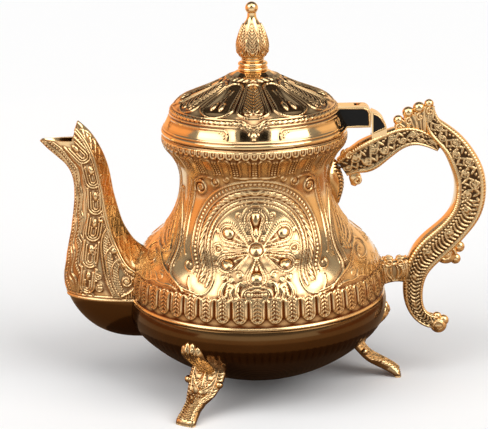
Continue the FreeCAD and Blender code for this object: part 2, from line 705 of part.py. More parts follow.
def lid_skirt():
    """Stepped ring soldered in the hem, which keeps the lid central in the mouth."""
    _, _, mouth = shell_outline(WALL)
    low_r = mouth.x - SKIRT_PLAY
    high_r = LID_R - LID_HEM_T - SOLDER_GAP
    inner_r = low_r - SKIRT_T
    low_z = LID_Z - SKIRT_DROP
    step_z = LID_Z + LID_GAP
    top_z = LID_Z + LID_HEM_H
    corners = [at(inner_r, low_z), at(low_r, low_z), at(low_r, step_z), at(high_r, step_z),
               at(high_r, top_z), at(inner_r, top_z)]
    return lathe([line(a, b) for a, b in zip(corners, corners[1:] + corners[:1])])


def rivet_starts():
    z = PIN_AXIS.z - KNUCKLE_R / 2
    return [at(0, z, side * RIVET_SPREAD / 2) for side in (-1, 1)]


def lid_arm_outline():
    """Side of the lid's arm: flat top, rounded about the pin, square below."""
    back_x = LID_R / 2
    top_z = PIN_AXIS.z + KNUCKLE_R
    low_z = PIN_AXIS.z - ARM_DROP
    nose_x = PIN_AXIS.x + KNUCKLE_R
    return [line(at(back_x, top_z), at(PIN_AXIS.x, top_z)), arc(PIN_AXIS, KNUCKLE_R, AXIS_Z, AXIS_X),
            line(at(nose_x, PIN_AXIS.z), at(nose_x, low_z)), line(at(nose_x, low_z), at(back_x, low_z)),
            line(at(back_x, low_z), at(back_x, top_z))]


def lid_hinge_arm():
    """Fork on the lid: two ears round the tongue of the post."""
    arm = plate(lid_arm_outline(), HINGE_W)
    slot_w = TONGUE_W + 2 * TONGUE_PLAY
    slot_x = PIN_AXIS.x - KNUCKLE_R - TONGUE_PLAY
    slot = Part.makeBox(FAR, slot_w, FAR, at(slot_x, PIN_AXIS.z - FAR / 2, -slot_w / 2))
    bore = crosswise_rod(PIN_AXIS, PIN_R + SOLDER_GAP, 2 * HINGE_W)
    rivets = [rod(start, AXIS_X, RIVET_R + SOLDER_GAP, rivet_tip() + SOLDER_GAP) for start in rivet_starts()]
    arm = arm.cut(Part.makeCompound([lid_skin(), lid_hem(), slot, bore]))
    return outer_end(arm.cut(Part.makeCompound(rivets)))


def outer_end(shape):
    return max(shape.Solids, key=lambda solid: solid.BoundBox.XMax)


def lid_wall_at(z, inset):
    """Radius of the lid's wall at a height."""
    points = lid_points(inset)
    wall = spline(points).toShape()
    level = line(at(0, z), at(FAR, z))
    return wall.distToShape(level)[1][0][0].x


def rivet_tip():
    z = rivet_starts()[0].z
    return lid_wall_at(z, 0) + RIVET_GRIP


def lid_arm_rivets():
    rivets = []
    for start in rivet_starts():
        wall_r = lid_wall_at(start.z + RIVET_HEAD_R, WALL)
        wall_x = math.sqrt(wall_r ** 2 - (RIVET_SPREAD / 2 + RIVET_HEAD_R) ** 2)
        foot = start + AXIS_X * (wall_x - SOLDER_GAP - RIVET_HEAD_H)
        head = rod(foot, AXIS_X, RIVET_HEAD_R, RIVET_HEAD_H)
        shank = rod(foot, AXIS_X, RIVET_R, rivet_tip() - foot.x)
        rivets.append(head.fuse(shank).removeSplitter())
    return Part.makeCompound(rivets)


def hinge_pin():
    return crosswise_rod(PIN_AXIS, PIN_R, HINGE_W)


def hinge_post(cast_handle):
    """Post on the handle's arm with the tongue that carries the pin."""
    wall_x = PIN_AXIS.x + KNUCKLE_R + POST_GAP
    end_x = wall_x + POST_REACH
    low_z = MOUTH_Z - 2 * ARM_DROP
    brow_z = PIN_AXIS.z + KNUCKLE_R / 4
    along, down = POST_BROW
    brow = at(wall_x + POST_REACH * along, brow_z - POST_FALL * down)
    heel = at(end_x, brow_z - POST_FALL)
    body = [line(at(wall_x, low_z), at(wall_x, brow_z)), Part.Arc(at(wall_x, brow_z), brow, heel).toShape(),
            line(heel, at(end_x, low_z)), line(at(end_x, low_z), at(wall_x, low_z))]
    web_low = at(wall_x + POST_GAP, PIN_AXIS.z - KNUCKLE_R)
    web_high = at(wall_x + POST_GAP, brow_z)
    corners = [PIN_AXIS, at(PIN_AXIS.x, web_low.z), web_low, web_high]
    knuckle = crosswise_rod(PIN_AXIS, KNUCKLE_R, TONGUE_W)
    post = plate(body, HINGE_W).fuse([slab(corners, TONGUE_W), knuckle])
    bore = crosswise_rod(PIN_AXIS, PIN_R + RUNNING_GAP, 2 * HINGE_W)
    return largest(post.cut(cast_handle).cut(bore)).removeSplitter()


def finial_collar():
    """Double ring between the crown and the bud."""
    ring = COLLAR_H / 4
    waist_r = COLLAR_R - ring
    hole_r = STUD_R + SOLDER_GAP
    edges = [line(at(hole_r, CROWN_Z), at(waist_r, CROWN_Z))]
    low = CROWN_Z
    for _ in range(2):
        high = low + 2 * ring
        edges.append(Part.Arc(at(waist_r, low), at(COLLAR_R, low + ring), at(waist_r, high)).toShape())
        low = high
    edges.append(line(at(waist_r, low), at(hole_r, low)))
    edges.append(line(at(hole_r, low), at(hole_r, CROWN_Z)))
    return lathe(edges)


def finial():
    """Bud on a foot, drawn out to a neck that carries a ball."""
    points = [at(r, COLLAR_TOP_Z + z) for r, z in FINIAL_OUTLINE]
    bud = filled([spline(points).toShape()], points[0], points[-1])
    ball = Part.makeSphere(BALL_R, at(0, COLLAR_TOP_Z + FINIAL_H - BALL_R))
    hole = rod(at(0, COLLAR_TOP_Z), AXIS_Z, STUD_R + SOLDER_GAP, STUD_GRIP + SOLDER_GAP)
    return bud.fuse(ball).cut(hole)


def finial_fixings():
    """Stud through the crown with its washer and nut under the dome."""
    washer_z = CROWN_Z - WALL - WASHER_T
    nut_z = washer_z - NUT_H
    stud_z = nut_z - WASHER_T
    hole = rod(at(0, stud_z), AXIS_Z, STUD_R + SOLDER_GAP, LID_H)
    washer = rod(at(0, washer_z), AXIS_Z, LID_WASHER_R, WASHER_T).cut(hole)
    corner_r = NUT_FLATS / math.sqrt(3)
    turns = [k * math.pi / 3 for k in range(6)]
    corners = [at(corner_r * math.cos(turn), nut_z, corner_r * math.sin(turn)) for turn in turns]
    nut = Part.Face(Part.makePolygon(corners + corners[:1])).extrude(at(0, NUT_H)).cut(hole)
    stud = rod(at(0, stud_z), AXIS_Z, STUD_R, COLLAR_TOP_Z + STUD_GRIP - stud_z)
    return {"finial_stud": stud, "finial_washer": washer, "finial_nut": nut}


def build():
    """Every piece of the pot by its name."""
    cores = pot_core()
    cast_handle = handle()
    pieces = {"upper_shell": upper_shell(), "lower_bowl": lower_bowl(), "spout_strainer": spout_strainer(),
              "handle": cast_handle, "handle_upper_root": handle_upper_root(cores, cast_handle),
              "handle_lower_root": handle_lower_root(cores, cast_handle),
              "hinge_post": hinge_post(cast_handle), "hinge_pin": hinge_pin(),
              "foot_screws": Part.makeCompound([foot_screw(turn) for turn in foot_turns()]),
              "foot_washers": Part.makeCompound([foot_washer(turn, bowl_cavity()) for turn in foot_turns()]),
              "lid_dome": lid_dome(), "lid_skirt": lid_skirt(), "lid_hinge_arm": lid_hinge_arm(),
              "lid_arm_rivets": lid_arm_rivets(), "finial_collar": finial_collar(), "finial": finial()}
    for name, turn in zip(("foot_handle_side", "foot_back", "foot_front"), foot_turns()):
        pieces[name] = foot(turn, cores[1])
    pieces.update(spout_pieces(cores))
    pieces.update(handle_fixings())
    pieces.update(finial_fixings())
    return pieces


os.makedirs("parts", exist_ok=True)
for node, shape in build().items():
    shape.exportStep("parts/" + node + ".step")
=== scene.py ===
"""Looks of the embossed gold coffee pot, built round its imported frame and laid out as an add-on."""
import math

import bpy
import numpy as np
from mathutils import Matrix


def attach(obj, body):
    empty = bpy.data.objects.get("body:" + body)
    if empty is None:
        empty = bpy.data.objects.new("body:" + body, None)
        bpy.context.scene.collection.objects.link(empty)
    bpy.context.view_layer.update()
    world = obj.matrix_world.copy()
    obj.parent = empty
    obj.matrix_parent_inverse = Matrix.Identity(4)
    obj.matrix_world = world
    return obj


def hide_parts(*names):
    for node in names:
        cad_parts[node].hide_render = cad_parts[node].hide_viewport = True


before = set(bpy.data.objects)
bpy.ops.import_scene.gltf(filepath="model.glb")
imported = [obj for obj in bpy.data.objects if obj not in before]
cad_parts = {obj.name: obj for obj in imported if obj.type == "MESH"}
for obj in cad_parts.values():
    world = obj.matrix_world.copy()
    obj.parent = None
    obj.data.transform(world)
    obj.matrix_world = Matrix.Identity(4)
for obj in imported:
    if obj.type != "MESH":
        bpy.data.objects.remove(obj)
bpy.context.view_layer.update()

bl_info = {
    "name": "Embossed coffee pot",
    "version": (1, 0, 0),
    "blender": (4, 5, 0),
    "location": "View3D > Sidebar > Coffee pot",
    "description": "Chased gold looks for the coffee pot's frame",
    "category": "Object",
}

MM = 0.001
TURN = 2 * math.pi

# Sizes of the metal below the ornament, in millimetres, as the frame has them
WALL = 1.0
SEAM_Z = 52.0
SEAM_R = 70.0
SHOULDER_Z = 59.0
NECK_Z = 118.0
NECK_R = 41.2
RIM_Z = 140.5
RIM_R = 50.3
MOUTH_Z = 143.5
SHOULDER_SHARE = 0.43
FLARE_SHARE = 0.77
BEAD_R = 0.8
BOWL_R = 71.6
BOWL_WIDEST_Z = 46.5
BOWL_SIDE_ARC = 20.5
BASE_Z = 9.6
BASE_R = 30.0
BOWL_ARC_Z = 96.74
BOWL_ARC_R = 92.15
LID_Z = 143.8
LID_H = 32.5
CROWN_R = 9.0
CROWN_Z = LID_Z + LID_H
LID_OUTLINE = ((1.0, 0.0), (0.985, 0.08), (0.954, 0.165), (0.873, 0.375), (0.801, 0.498), (0.62, 0.622),
               (0.378, 0.745), (0.177, 0.868), (0.0, 1.0))
HEM_H = 2.8
HEM_T = 2.7
COLLAR_R = 8.0
COLLAR_TOP_Z = 181.2
FINIAL_TOP_Z = 213.4
BALL_R = 3.45
STUD_HOLE_R = 2.05
FINIAL_OUTLINE = ((5.7, 0.0), (5.9, 1.6), (7.3, 4.0), (8.6, 8.0), (7.5, 14.0), (4.8, 20.0), (2.5, 24.0),
                  (2.4, 26.5))
SPOUT_WALL = 1.2
# Out from the seam and up from it for the crest, the same for the front, then where the round of the front
# starts as a share of the way between them, and the half widths there and at the belly
SPOUT_SECTIONS = (
    (-14.0, 24.0, -14.0, -25.0, 0.17, 15.5, 18.8),
    (-3.7, 29.7, 6.0, -24.6, 0.24, 15.6, 18.2),
    (1.0, 36.0, 22.0, -18.2, 0.20, 12.8, 16.5),
    (4.1, 42.6, 34.2, -3.4, 0.17, 11.2, 14.0),
    (6.2, 50.5, 37.1, 9.0, 0.17, 10.4, 12.0),
    (8.1, 59.2, 34.6, 25.3, 0.19, 9.8, 10.7),
    (9.2, 67.0, 31.0, 42.6, 0.23, 9.2, 9.5),
    (10.9, 75.1, 29.1, 57.0, 0.27, 8.5, 8.7),
    (13.8, 83.1, 29.7, 68.0, 0.26, 7.6, 7.9),
    (18.4, 91.3, 34.5, 76.5, 0.22, 6.6, 7.0),
    (22.0, 95.5, 40.5, 82.0, 0.18, 6.0, 6.3),
    (27.5, 100.5, 48.0, 90.0, 0.16, 5.4, 5.5),
)
BELLY_SHARE = 0.55
BROW_SHARE = 0.87
BROW_WIDTH = 0.64
LIP_Z = 140.4
HOOD_FOOT_X = -99.0
HOOD_PEAK_X = -95.6
HOOD_PEAK_Z = 150.7
WINDOW_Z = 66.5
WINDOW_R = 8.0
WINDOW_BULGE = 5.0
TOE_R = 80.3
FOOT_TOP = ((36.0, 43.0), (28.0, 29.0), (22.0, 19.5), (16.4, 12.6), (11.9, 10.5), (7.3, 8.2),
            (3.0, 5.2), (0.6, 2.4), (0.0, 0.0))
FOOT_UNDER = ((4.2, 0.0), (5.4, 1.7), (7.3, 2.7), (11.9, 5.1), (16.4, 7.6), (19.8, 10.4),
              (25.6, 17.0), (33.0, 27.0), (42.0, 40.0))
FOOT_WIDTHS = ((-1.0, 5.6), (3.0, 5.8), (8.0, 4.9), (13.0, 5.4), (18.0, 8.2), (24.0, 10.4),
               (28.0, 10.6), (44.0, 10.6))


def as_linear(code):
    """Linear colour of an sRGB hex value."""
    parts = [int(code[k:k + 2], 16) / 255 for k in (0, 2, 4)]
    return [c / 12.92 if c <= 0.04045 else ((c + 0.055) / 1.055) ** 2.4 for c in parts]


COLOUR = {"subtype": "COLOR", "size": 3, "min": 0, "max": 1}


class PotChasing(bpy.types.PropertyGroup):
    """Depth and count of the raised work."""
    depth: bpy.props.FloatProperty(name="Depth", default=1.0, min=0.0, max=2.0,
                                   description="Height of the chased lines against their drawing")
    tongues: bpy.props.IntProperty(name="Tongues", default=48, description="Tongues above the seam")
    columns: bpy.props.IntProperty(name="Neck columns", default=28, description="Beaded columns on the neck")
    loops: bpy.props.IntProperty(name="Rim loops", default=72, description="Loops of the lace under the rim")


class PotFinish(bpy.types.PropertyGroup):
    """Colours and roughness of the metals."""
    gold: bpy.props.FloatVectorProperty(name="Gold", description="Gilding on the raised work",
                                        default=as_linear("F8D29A"), **COLOUR)
    # painted shade: darker colour that the gilding is mixed towards in the hollows of the chasing
    hollow: bpy.props.FloatVectorProperty(name="Hollows", description="Gilding in the chased hollows",
                                          default=as_linear("6E3610"), **COLOUR)
    # painted reflection: the bowl's bronze is dark brown to stand for a dark studio mirrored in it
    bronze: bpy.props.FloatVectorProperty(name="Bronze", description="Lacquered bronze of the bowl",
                                          default=as_linear("6E5030"), **COLOUR)
    enamel: bpy.props.FloatVectorProperty(name="Enamel", description="Black enamel on the hinge",
                                          default=as_linear("0B0A09"), **COLOUR)
    brass: bpy.props.FloatVectorProperty(name="Brass", description="Plain brass inside the pot",
                                         default=as_linear("CDA65C"), **COLOUR)
    steel: bpy.props.FloatVectorProperty(name="Steel", description="Screws, pin and rivets",
                                         default=as_linear("B9B6B0"), **COLOUR)
    polish: bpy.props.FloatProperty(name="Polish", description="Roughness of the gilding",
                                    default=0.17, min=0.02, max=1.0)


class PotStage(bpy.types.PropertyGroup):
    """Floor, lamps and camera."""
    floor: bpy.props.FloatVectorProperty(name="Floor", description="Pale floor",
                                         default=as_linear("FAFAFA"), **COLOUR)
    sky: bpy.props.FloatProperty(name="Surround", default=0.32, description="Strength of the white surround")
    top: bpy.props.FloatProperty(name="Top lamp", default=0.55, description="Strength of the upper lamp")
    key: bpy.props.FloatProperty(name="Key lamp", default=1.7, description="Strength of the right lamp")
    fill: bpy.props.FloatProperty(name="Fill lamp", default=1.3, description="Strength of the left lamp")
    lens: bpy.props.FloatProperty(name="Lens", default=118.03, unit="CAMERA",
                                  description="Focal length on a 36 mm wide sensor")


# Curves


def natural_spline(points, count):
    """Even samples of a natural cubic spline through points of any dimension."""
    p = np.asarray(points, float)
    steps = np.linalg.norm(np.diff(p, axis=0), axis=1)
    knots = np.r_[0, np.cumsum(steps)]
    n = len(p)
    system = np.eye(n)
    change = np.zeros_like(p)
    for i in range(1, n - 1):
        system[i, i - 1:i + 2] = steps[i - 1], 2 * (steps[i - 1] + steps[i]), steps[i]
        change[i] = 6 * ((p[i + 1] - p[i]) / steps[i] - (p[i] - p[i - 1]) / steps[i - 1])
    curl = np.linalg.solve(system, change)
    t = np.linspace(0, knots[-1], count)
    k = np.clip(np.searchsorted(knots, t, side="right") - 1, 0, n - 2)
    h = steps[k][:, None]
    before = (t - knots[k])[:, None]
    after = h - before
    cubic = (curl[k] * after ** 3 + curl[k + 1] * before ** 3) / (6 * h)
    straight = (p[k] / h - curl[k] * h / 6) * after + (p[k + 1] / h - curl[k + 1] * h / 6) * before
    return cubic + straight


def lengths_along(points):
    """Length of a line from its start to each of its points."""
    return np.r_[0, np.cumsum(np.linalg.norm(np.diff(points, axis=0), axis=1))]


def resampled(points, run, at):
    """Points of a line at other places along it."""
    return np.stack([np.interp(at, run, points[:, k]) for k in range(points.shape[1])], 1)


def even(points, step):
    """The same line with points a step apart."""
    points = np.asarray(points, float)
    run = lengths_along(points)
    return resampled(points, run, np.linspace(0, run[-1], max(2, int(round(run[-1] / step)) + 1)))


def bent(points, step=0.8):
    """Smooth line through a few points."""
    return even(natural_spline(points, 24 * len(points)), step)


def full_turn(count):
    """Evenly spaced angles of a full turn."""
    return np.linspace(0, TURN, count, endpoint=False)


def arc(centre, radius, start, end, steps=48):
    """Points on an arc between two angles in radians."""
    a = np.linspace(start, end, steps)
    return np.c_[centre[0] + radius * np.cos(a), centre[1] + radius * np.sin(a)]


def spiral(centre, outer, inner, turns, start, hand=1, step=0.6):
    """Volute that winds from its outer end to its eye."""
    share = np.linspace(0, 1, int(40 * turns) + 8)
    a = start + hand * share * turns * TURN
    r = outer + (inner - outer) * share ** 0.8
    return even(np.c_[centre[0] + r * np.cos(a), centre[1] + r * np.sin(a)], step)


def drop(root, centre, radius):
    """Outline that runs from a root round a circle and back."""
    reach = centre - root
    heading = math.atan2(reach[1], reach[0])
    bend = math.acos(min(0.95, radius / np.linalg.norm(reach)))
    round_end = arc(centre, radius, heading + math.pi - bend, heading - math.pi + bend, 26)
    return np.concatenate([[root], round_end, [root]])


def sideways(path):
    """Unit vectors on the left of a plane line, square to it."""
    tangent = np.gradient(path, axis=0)
    tangent /= np.linalg.norm(tangent, axis=1)[:, None]
    return np.c_[-tangent[:, 1], tangent[:, 0]]


class Chasing:
    """Raised work on a sheet whose two coordinates are millimetres of metal."""

    def __init__(self, across, along):
        self.x = across
        self.s = along
        self.h = np.zeros_like(across)

    def band(self, low, high):
        """Rows of the sheet that reach into a span of lengths along it, or none."""
        rows = np.nonzero((self.s.max(1) >= low) & (self.s.min(1) <= high))[0]
        return slice(rows[0], rows[-1] + 1) if len(rows) else None

    def window(self, low_x, high_x, low_s, high_s):
        """Rows and columns of the sheet that reach into a box, or none."""
        band = self.band(low_s, high_s)
        if band is None:
            return None
        columns = np.nonzero((self.x[band].max(0) >= low_x) & (self.x[band].min(0) <= high_x))[0]
        if not len(columns):
            return None
        return band, slice(columns[0], columns[-1] + 1)

    def lay(self, part, height):
        view = self.h[part]
        np.maximum(view, height, out=view)

    def lay_all(self, height):
        np.maximum(self.h, height, out=self.h)

    def lay_lines(self, rows):
        """Smooth wires, each given by the points it goes through, its half width and its height."""
        for points, half, height in rows:
            self.line(bent(points), half, height)

    def stripe(self, x, length, half, height, *twist):
        """Wire up the whole sheet at one place across it."""
        self.line(((x, 0.0), (x, length)), half, height, *twist)

    def line(self, path, half, height, pitch=None, slant=1.0):
        """Round wire along a path; with a pitch it is twisted like a rope."""
        path = np.asarray(path, float)
        run = 0.0
        for a, b in zip(path, path[1:]):
            low = np.minimum(a, b) - half
            high = np.maximum(a, b) + half
            step = b - a
            length = math.hypot(*step)
            part = self.window(low[0], high[0], low[1], high[1])
            if part is not None and length > 0:
                dx = self.x[part] - a[0]
                ds = self.s[part] - a[1]
                on = np.clip((dx * step[0] + ds * step[1]) / length ** 2, 0, 1)
                off = np.hypot(dx - on * step[0], ds - on * step[1]) / half
                dome = np.sqrt(np.clip(1 - off ** 2, 0, 1))
                if pitch:
                    side = (dx * step[1] - ds * step[0]) / (length * half)
                    twist = np.cos(TURN * ((run + on * length) / pitch + slant * side))
                    dome = dome * (0.5 + 0.5 * twist)
                self.lay(part, height * dome)
            run += length

    def dome(self, centre, radius, height, long=None, angle=0.0, taper=0.0):
        """Bead or drop: round, or long in the direction of an angle and slimmer towards its far end."""
        reach = max(radius, long or radius)
        part = self.window(centre[0] - reach, centre[0] + reach, centre[1] - reach, centre[1] + reach)
        if part is None:
            return
        dx = self.x[part] - centre[0]
        ds = self.s[part] - centre[1]
        c, s = math.cos(angle), math.sin(angle)
        ahead = (dx * c + ds * s) / (long or radius)
        aside = (ds * c - dx * s) / (radius * np.clip(1 - taper * ahead, 0.15, None))
        self.lay(part, height * np.sqrt(np.clip(1 - ahead ** 2 - aside ** 2, 0, 1)))

    def beads(self, path, pitch, radius, height):
        for point in even(path, pitch):
            self.dome(point, radius, height)

    def ring(self, centre, radius, half, height):
        self.line(arc(centre, radius, 0, TURN, 25), half, height)

    def volute(self, centre, outer, turns, start, hand=1, half=0.5, height=0.5):
        self.line(spiral(centre, outer, outer * 0.22, turns, start, hand), half, height)
        self.dome(centre, outer * 0.3, height * 1.1)

    def petal(self, root, centre, radius, pearl, height=0.6):
        """Drop that widens from its root to a round end, with a double rim, a beaded outline and a pearl."""
        root = np.asarray(root, float)
        centre = np.asarray(centre, float)
        for grow, half in ((1.0, 0.38), (0.78, 0.28)):
            self.line(drop(root, centre, radius * grow), half, height)
        self.beads(drop(root, centre, radius * 1.3), 1.2, 0.42, height * 0.75)
        self.dome(centre, pearl, height * 2.2)
        length = np.linalg.norm(centre - root)
        heading = math.atan2(*(centre - root)[::-1])
        self.dome(root * 0.55 + centre * 0.45, radius * 0.17, height, length * 0.24, heading)

    def leaf(self, root, tip, width, height, curl=0.0, ribs=0):
        """Acanthus leaf from its root to its tip, bent aside by curl, with ribs along its edges."""
        root = np.asarray(root, float)
        tip = np.asarray(tip, float)
        run = tip - root
        side = np.array([-run[1], run[0]])
        middle = root + run * 0.55 + side * curl
        spine = bent((root, middle, tip), 0.7)
        count = len(spine)
        share = np.linspace(0, 1, count)
        half = width * np.sin(np.pi * np.clip(share * 0.92 + 0.08, 0, 1)) ** 0.8
        for point, reach in zip(spine, half):
            self.dome(point, max(reach, 0.3), height * 0.72)
        self.line(spine, 0.34, height)
        if ribs:
            step = np.gradient(spine, axis=0)
            turn = np.arctan2(step[:, 1], step[:, 0])
            for k in np.linspace(2, count - 3, ribs).astype(int):
                for hand in (-1, 1):
                    slope = turn[k] + hand * 0.8
                    end = spine[k] + half[k] * 1.15 * np.array([math.cos(slope), math.sin(slope)])
                    self.line((spine[k], end), 0.3, height)


def softened(field, reach):
    """Box blur, which finds the ground that lies between raised lines."""
    for axis in (0, 1):
        padded = np.pad(field, [(reach, reach) if k == axis else (0, 0) for k in (0, 1)], mode="edge")
        total = np.cumsum(padded, axis=axis)
        total = np.concatenate([np.zeros_like(np.take(total, [0], axis)), total], axis)
        span = 2 * reach + 1
        count = field.shape[axis]
        field = (np.take(total, range(span, span + count), axis) - np.take(total, range(count), axis)) / span
    return field


# How strongly shade is painted into the hollows of the chasing
HOLLOW_GAIN = 3.4
HOLLOW_SHARE = 1.25


def hollows(height, reach=4):
    """How deep a point lies among raised work, from 0 on plain metal or a crest to 1, which is how much shade
    is painted there.
    """
    return np.clip(HOLLOW_GAIN * (softened(height, reach) * HOLLOW_SHARE - height), 0, 1)


def off_ring(across, along, radius):
    """Distance from a ring of a radius, for places measured from its centre."""
    return np.abs(np.hypot(across, along) - radius)


def wire(off, half, height):
    """Height of a round wire at a distance from its middle."""
    return height * np.sqrt(np.clip(1 - (off / half) ** 2, 0, 1))


def repeats(angle, count, radius):
    """Distance to the nearest of a count of motifs round the pot, and half of their spacing."""
    pitch = TURN / count
    return np.abs((angle / pitch + 0.5) % 1 - 0.5) * pitch * radius, pitch * radius / 2


# Meshes


def quads_of(rows, columns, first=0, around=False, closed=False):
    """Quads of a grid of points; around joins each row to a ring, and closed joins each column."""
    index = first + np.arange(rows * columns).reshape(rows, columns)
    if around:
        index = np.concatenate([index, index[:, :1]], 1)
    if closed:
        index = np.concatenate([index, index[:1]])
    corners = index[:-1, :-1], index[:-1, 1:], index[1:, 1:], index[1:, :-1]
    return np.stack(corners, -1).reshape(-1, 4)


class Metal:
    """Collects closed pieces of surface, then makes one mesh object of them."""

    def __init__(self):
        self.points = []
        self.quads = []
        self.fans = []
        # painted shade of each point, from 0 to 1
        self.painted_shade = []
        self.count = 0

    def add(self, points, quads, fans=(), painted_shade=None):
        points = np.asarray(points, float).reshape(-1, 3)
        quads = np.asarray(quads, int)
        corners = points[quads]
        volume = np.einsum("ij,ij->", corners[:, 0], np.cross(corners[:, 1], corners[:, 2]))
        volume += np.einsum("ij,ij->", corners[:, 0], np.cross(corners[:, 2], corners[:, 3]))
        fans = np.asarray(fans, int).reshape(-1, 3)
        ends = points[fans]
        volume += np.einsum("ij,ij->", ends[:, 0], np.cross(ends[:, 1], ends[:, 2]))
        if volume < 0:
            quads = quads[:, ::-1]
            fans = fans[:, ::-1]
        self.points.append(points)
        self.quads.append(quads + self.count)
        self.fans.append(fans + self.count)
        self.painted_shade.append(np.zeros(len(points)) if painted_shade is None else np.asarray(painted_shade, float).ravel())
        self.count += len(points)

    def lathed(self, rings, painted_shade):
        """Turned piece whose outline is closed."""
        self.add(rings, quads_of(*rings.shape[:2], around=True, closed=True), (), painted_shade)

    def tube(self, rings, painted_shade=None):
        """Grid of closed rings with a fan over each end."""
        rows, columns = rings.shape[:2]
        ends = rings[[0, -1]].mean(1)
        points = np.concatenate([rings.reshape(-1, 3), ends])
        start = rows * columns
        k = np.arange(columns)
        after = (k + 1) % columns
        last = (rows - 1) * columns
        low = np.stack([np.full(columns, start), after, k], 1)
        high = np.stack([np.full(columns, start + 1), last + k, last + after], 1)
        shade = None if painted_shade is None else np.r_[np.asarray(painted_shade).ravel(), 0, 0]
        self.add(points, quads_of(rows, columns, 0, True), np.concatenate([low, high]), shade)

    def slab(self, front, back, painted_shade=None):
        """Closed sheet between two grids of the same size."""
        rows, columns = front.shape[:2]
        count = rows * columns
        index = np.arange(count).reshape(rows, columns)
        edge = np.concatenate([index[0, :-1], index[:-1, -1], index[-1, :0:-1], index[:0:-1, 0]])
        after = np.roll(edge, -1)
        rim = np.stack([after, edge, edge + count, after + count], 1)
        faces = np.concatenate([quads_of(rows, columns), quads_of(rows, columns, count)[:, ::-1], rim])
        shade = None if painted_shade is None else np.r_[np.asarray(painted_shade).ravel(), np.zeros(count)]
        self.add(np.concatenate([front.reshape(-1, 3), back.reshape(-1, 3)]), faces, (), shade)

    def ball(self, centre, radius, rings=16, squash=1.0):
        """Round bead, a little flattened sideways if squashed."""
        up = np.linspace(-math.pi / 2, math.pi / 2, rings + 1)[1:-1]
        round_about = full_turn(2 * rings)
        flat = np.cos(up)[:, None] * radius
        grid = np.stack([flat * np.cos(round_about), squash * flat * np.sin(round_about),
                         np.repeat(np.sin(up)[:, None] * radius, 2 * rings, 1)], -1)
        self.tube(grid + np.asarray(centre, float))

    def make(self, name, finish, body, slot, *nodes):
        """Mesh object that rides on a body and stands for the named nodes of the frame."""
        mesh = bpy.data.meshes.new(name)
        points = np.concatenate(self.points) * MM
        quads = np.concatenate(self.quads)
        fans = np.concatenate(self.fans)
        mesh.vertices.add(len(points))
        mesh.vertices.foreach_set("co", points.ravel())
        corners = np.concatenate([quads.ravel(), fans.ravel()])
        mesh.loops.add(len(corners))
        mesh.loops.foreach_set("vertex_index", corners)
        starts = np.r_[np.arange(len(quads)) * 4, quads.size + np.arange(len(fans)) * 3]
        mesh.polygons.add(len(starts))
        mesh.polygons.foreach_set("loop_start", starts)
        mesh.update(calc_edges=True)
        if mesh.validate():
            raise RuntimeError("the mesh of " + name + " has broken faces")
        mesh.shade_smooth()
        # painted shade: each point's value becomes a mesh attribute that darkens the material there
        painted_shade = mesh.attributes.new("hollow", "FLOAT", "POINT")
        painted_shade.data.foreach_set("value", np.concatenate(self.painted_shade))
        mesh.materials.append(finish)
        piece = bpy.data.objects.new(name, mesh)
        bpy.context.scene.collection.objects.link(piece)
        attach(piece, body)
        if nodes:
            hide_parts(*nodes)


def profile_normals(profile):
    """Unit vectors that point out of an outline that runs upwards."""
    return -sideways(profile)


def turned(profile, columns, lift=0.0):
    """Rings of points round the pot's axis, from the front and on towards the handle."""
    normal = profile_normals(profile)
    a = full_turn(columns)
    lift = np.broadcast_to(lift, (len(profile), columns))
    r = profile[:, :1] + normal[:, :1] * lift
    z = profile[:, 1:] + normal[:, 1:] * lift
    return np.stack([r * np.sin(a), -r * np.cos(a), z], -1)


def turned_about(grid, degrees):
    """Grid turned about the upright axis."""
    c, s = math.cos(math.radians(degrees)), math.sin(math.radians(degrees))
    x, y, z = np.moveaxis(grid, -1, 0)
    return np.stack([x * c - y * s, x * s + y * c, z], -1)


def folded(quarter):
    """A quarter turn of chasing, mirrored round the whole pot."""
    span = quarter.shape[1] - 1
    fold = np.abs((np.arange(4 * span) + span) % (2 * span) - span)
    return quarter[:, fold]


def quarter_sheet(profile, span):
    """Chasing sheet for a quarter turn and the angle of each of its columns."""
    a = np.linspace(0, TURN / 4, span + 1)
    across = profile[:, :1] * a
    along = np.repeat(lengths_along(profile)[:, None], span + 1, 1)
    return Chasing(across, along), a


def half_sheet(grid, place, line):
    """Chasing sheet for the near half of a grid, with the lengths across it and along a line."""
    half = grid.shape[1] // 2 + 1
    across = np.linalg.norm(np.diff(grid[:, :half], axis=1), axis=2)
    across = np.concatenate([np.zeros((len(grid), 1)), np.cumsum(across, 1)], 1)
    run = lengths_along(line)
    return Chasing(across, np.interp(place[:, :half], np.arange(len(run)), run))


def mirrored(near):
    """Both halves of a grid of heights or tones whose last column is the middle."""
    return np.concatenate([near, near[:, -2::-1]], 1)


def grid_normals(grid):
    du = np.gradient(grid, axis=1)
    dv = np.gradient(grid, axis=0)
    normal = np.cross(du, dv)
    return normal / np.maximum(np.linalg.norm(normal, axis=-1, keepdims=True), 1e-9)


# Outlines


def s_curve(low, high, low_share):
    """Two tangent arcs between two upright ends, with the centre and radius of the upper one."""
    across = low[0] - high[0]
    side = math.copysign(1.0, across)
    radii = (across ** 2 + (high[1] - low[1]) ** 2) / (2 * abs(across))
    low_radius = radii * low_share
    high_radius = radii - low_radius
    low_centre = np.array([low[0] - side * low_radius, low[1]])
    high_centre = np.array([high[0] + side * high_radius, high[1]])
    run = high_centre - low_centre
    turn = math.atan2(run[1], run[0])
    start = 0 if side > 0 else math.pi
    first = arc(low_centre, low_radius, start, turn)
    second = arc(high_centre, high_radius, turn + side * math.pi, math.pi - start)
    return np.concatenate([first, second[1:]]), high_centre, high_radius


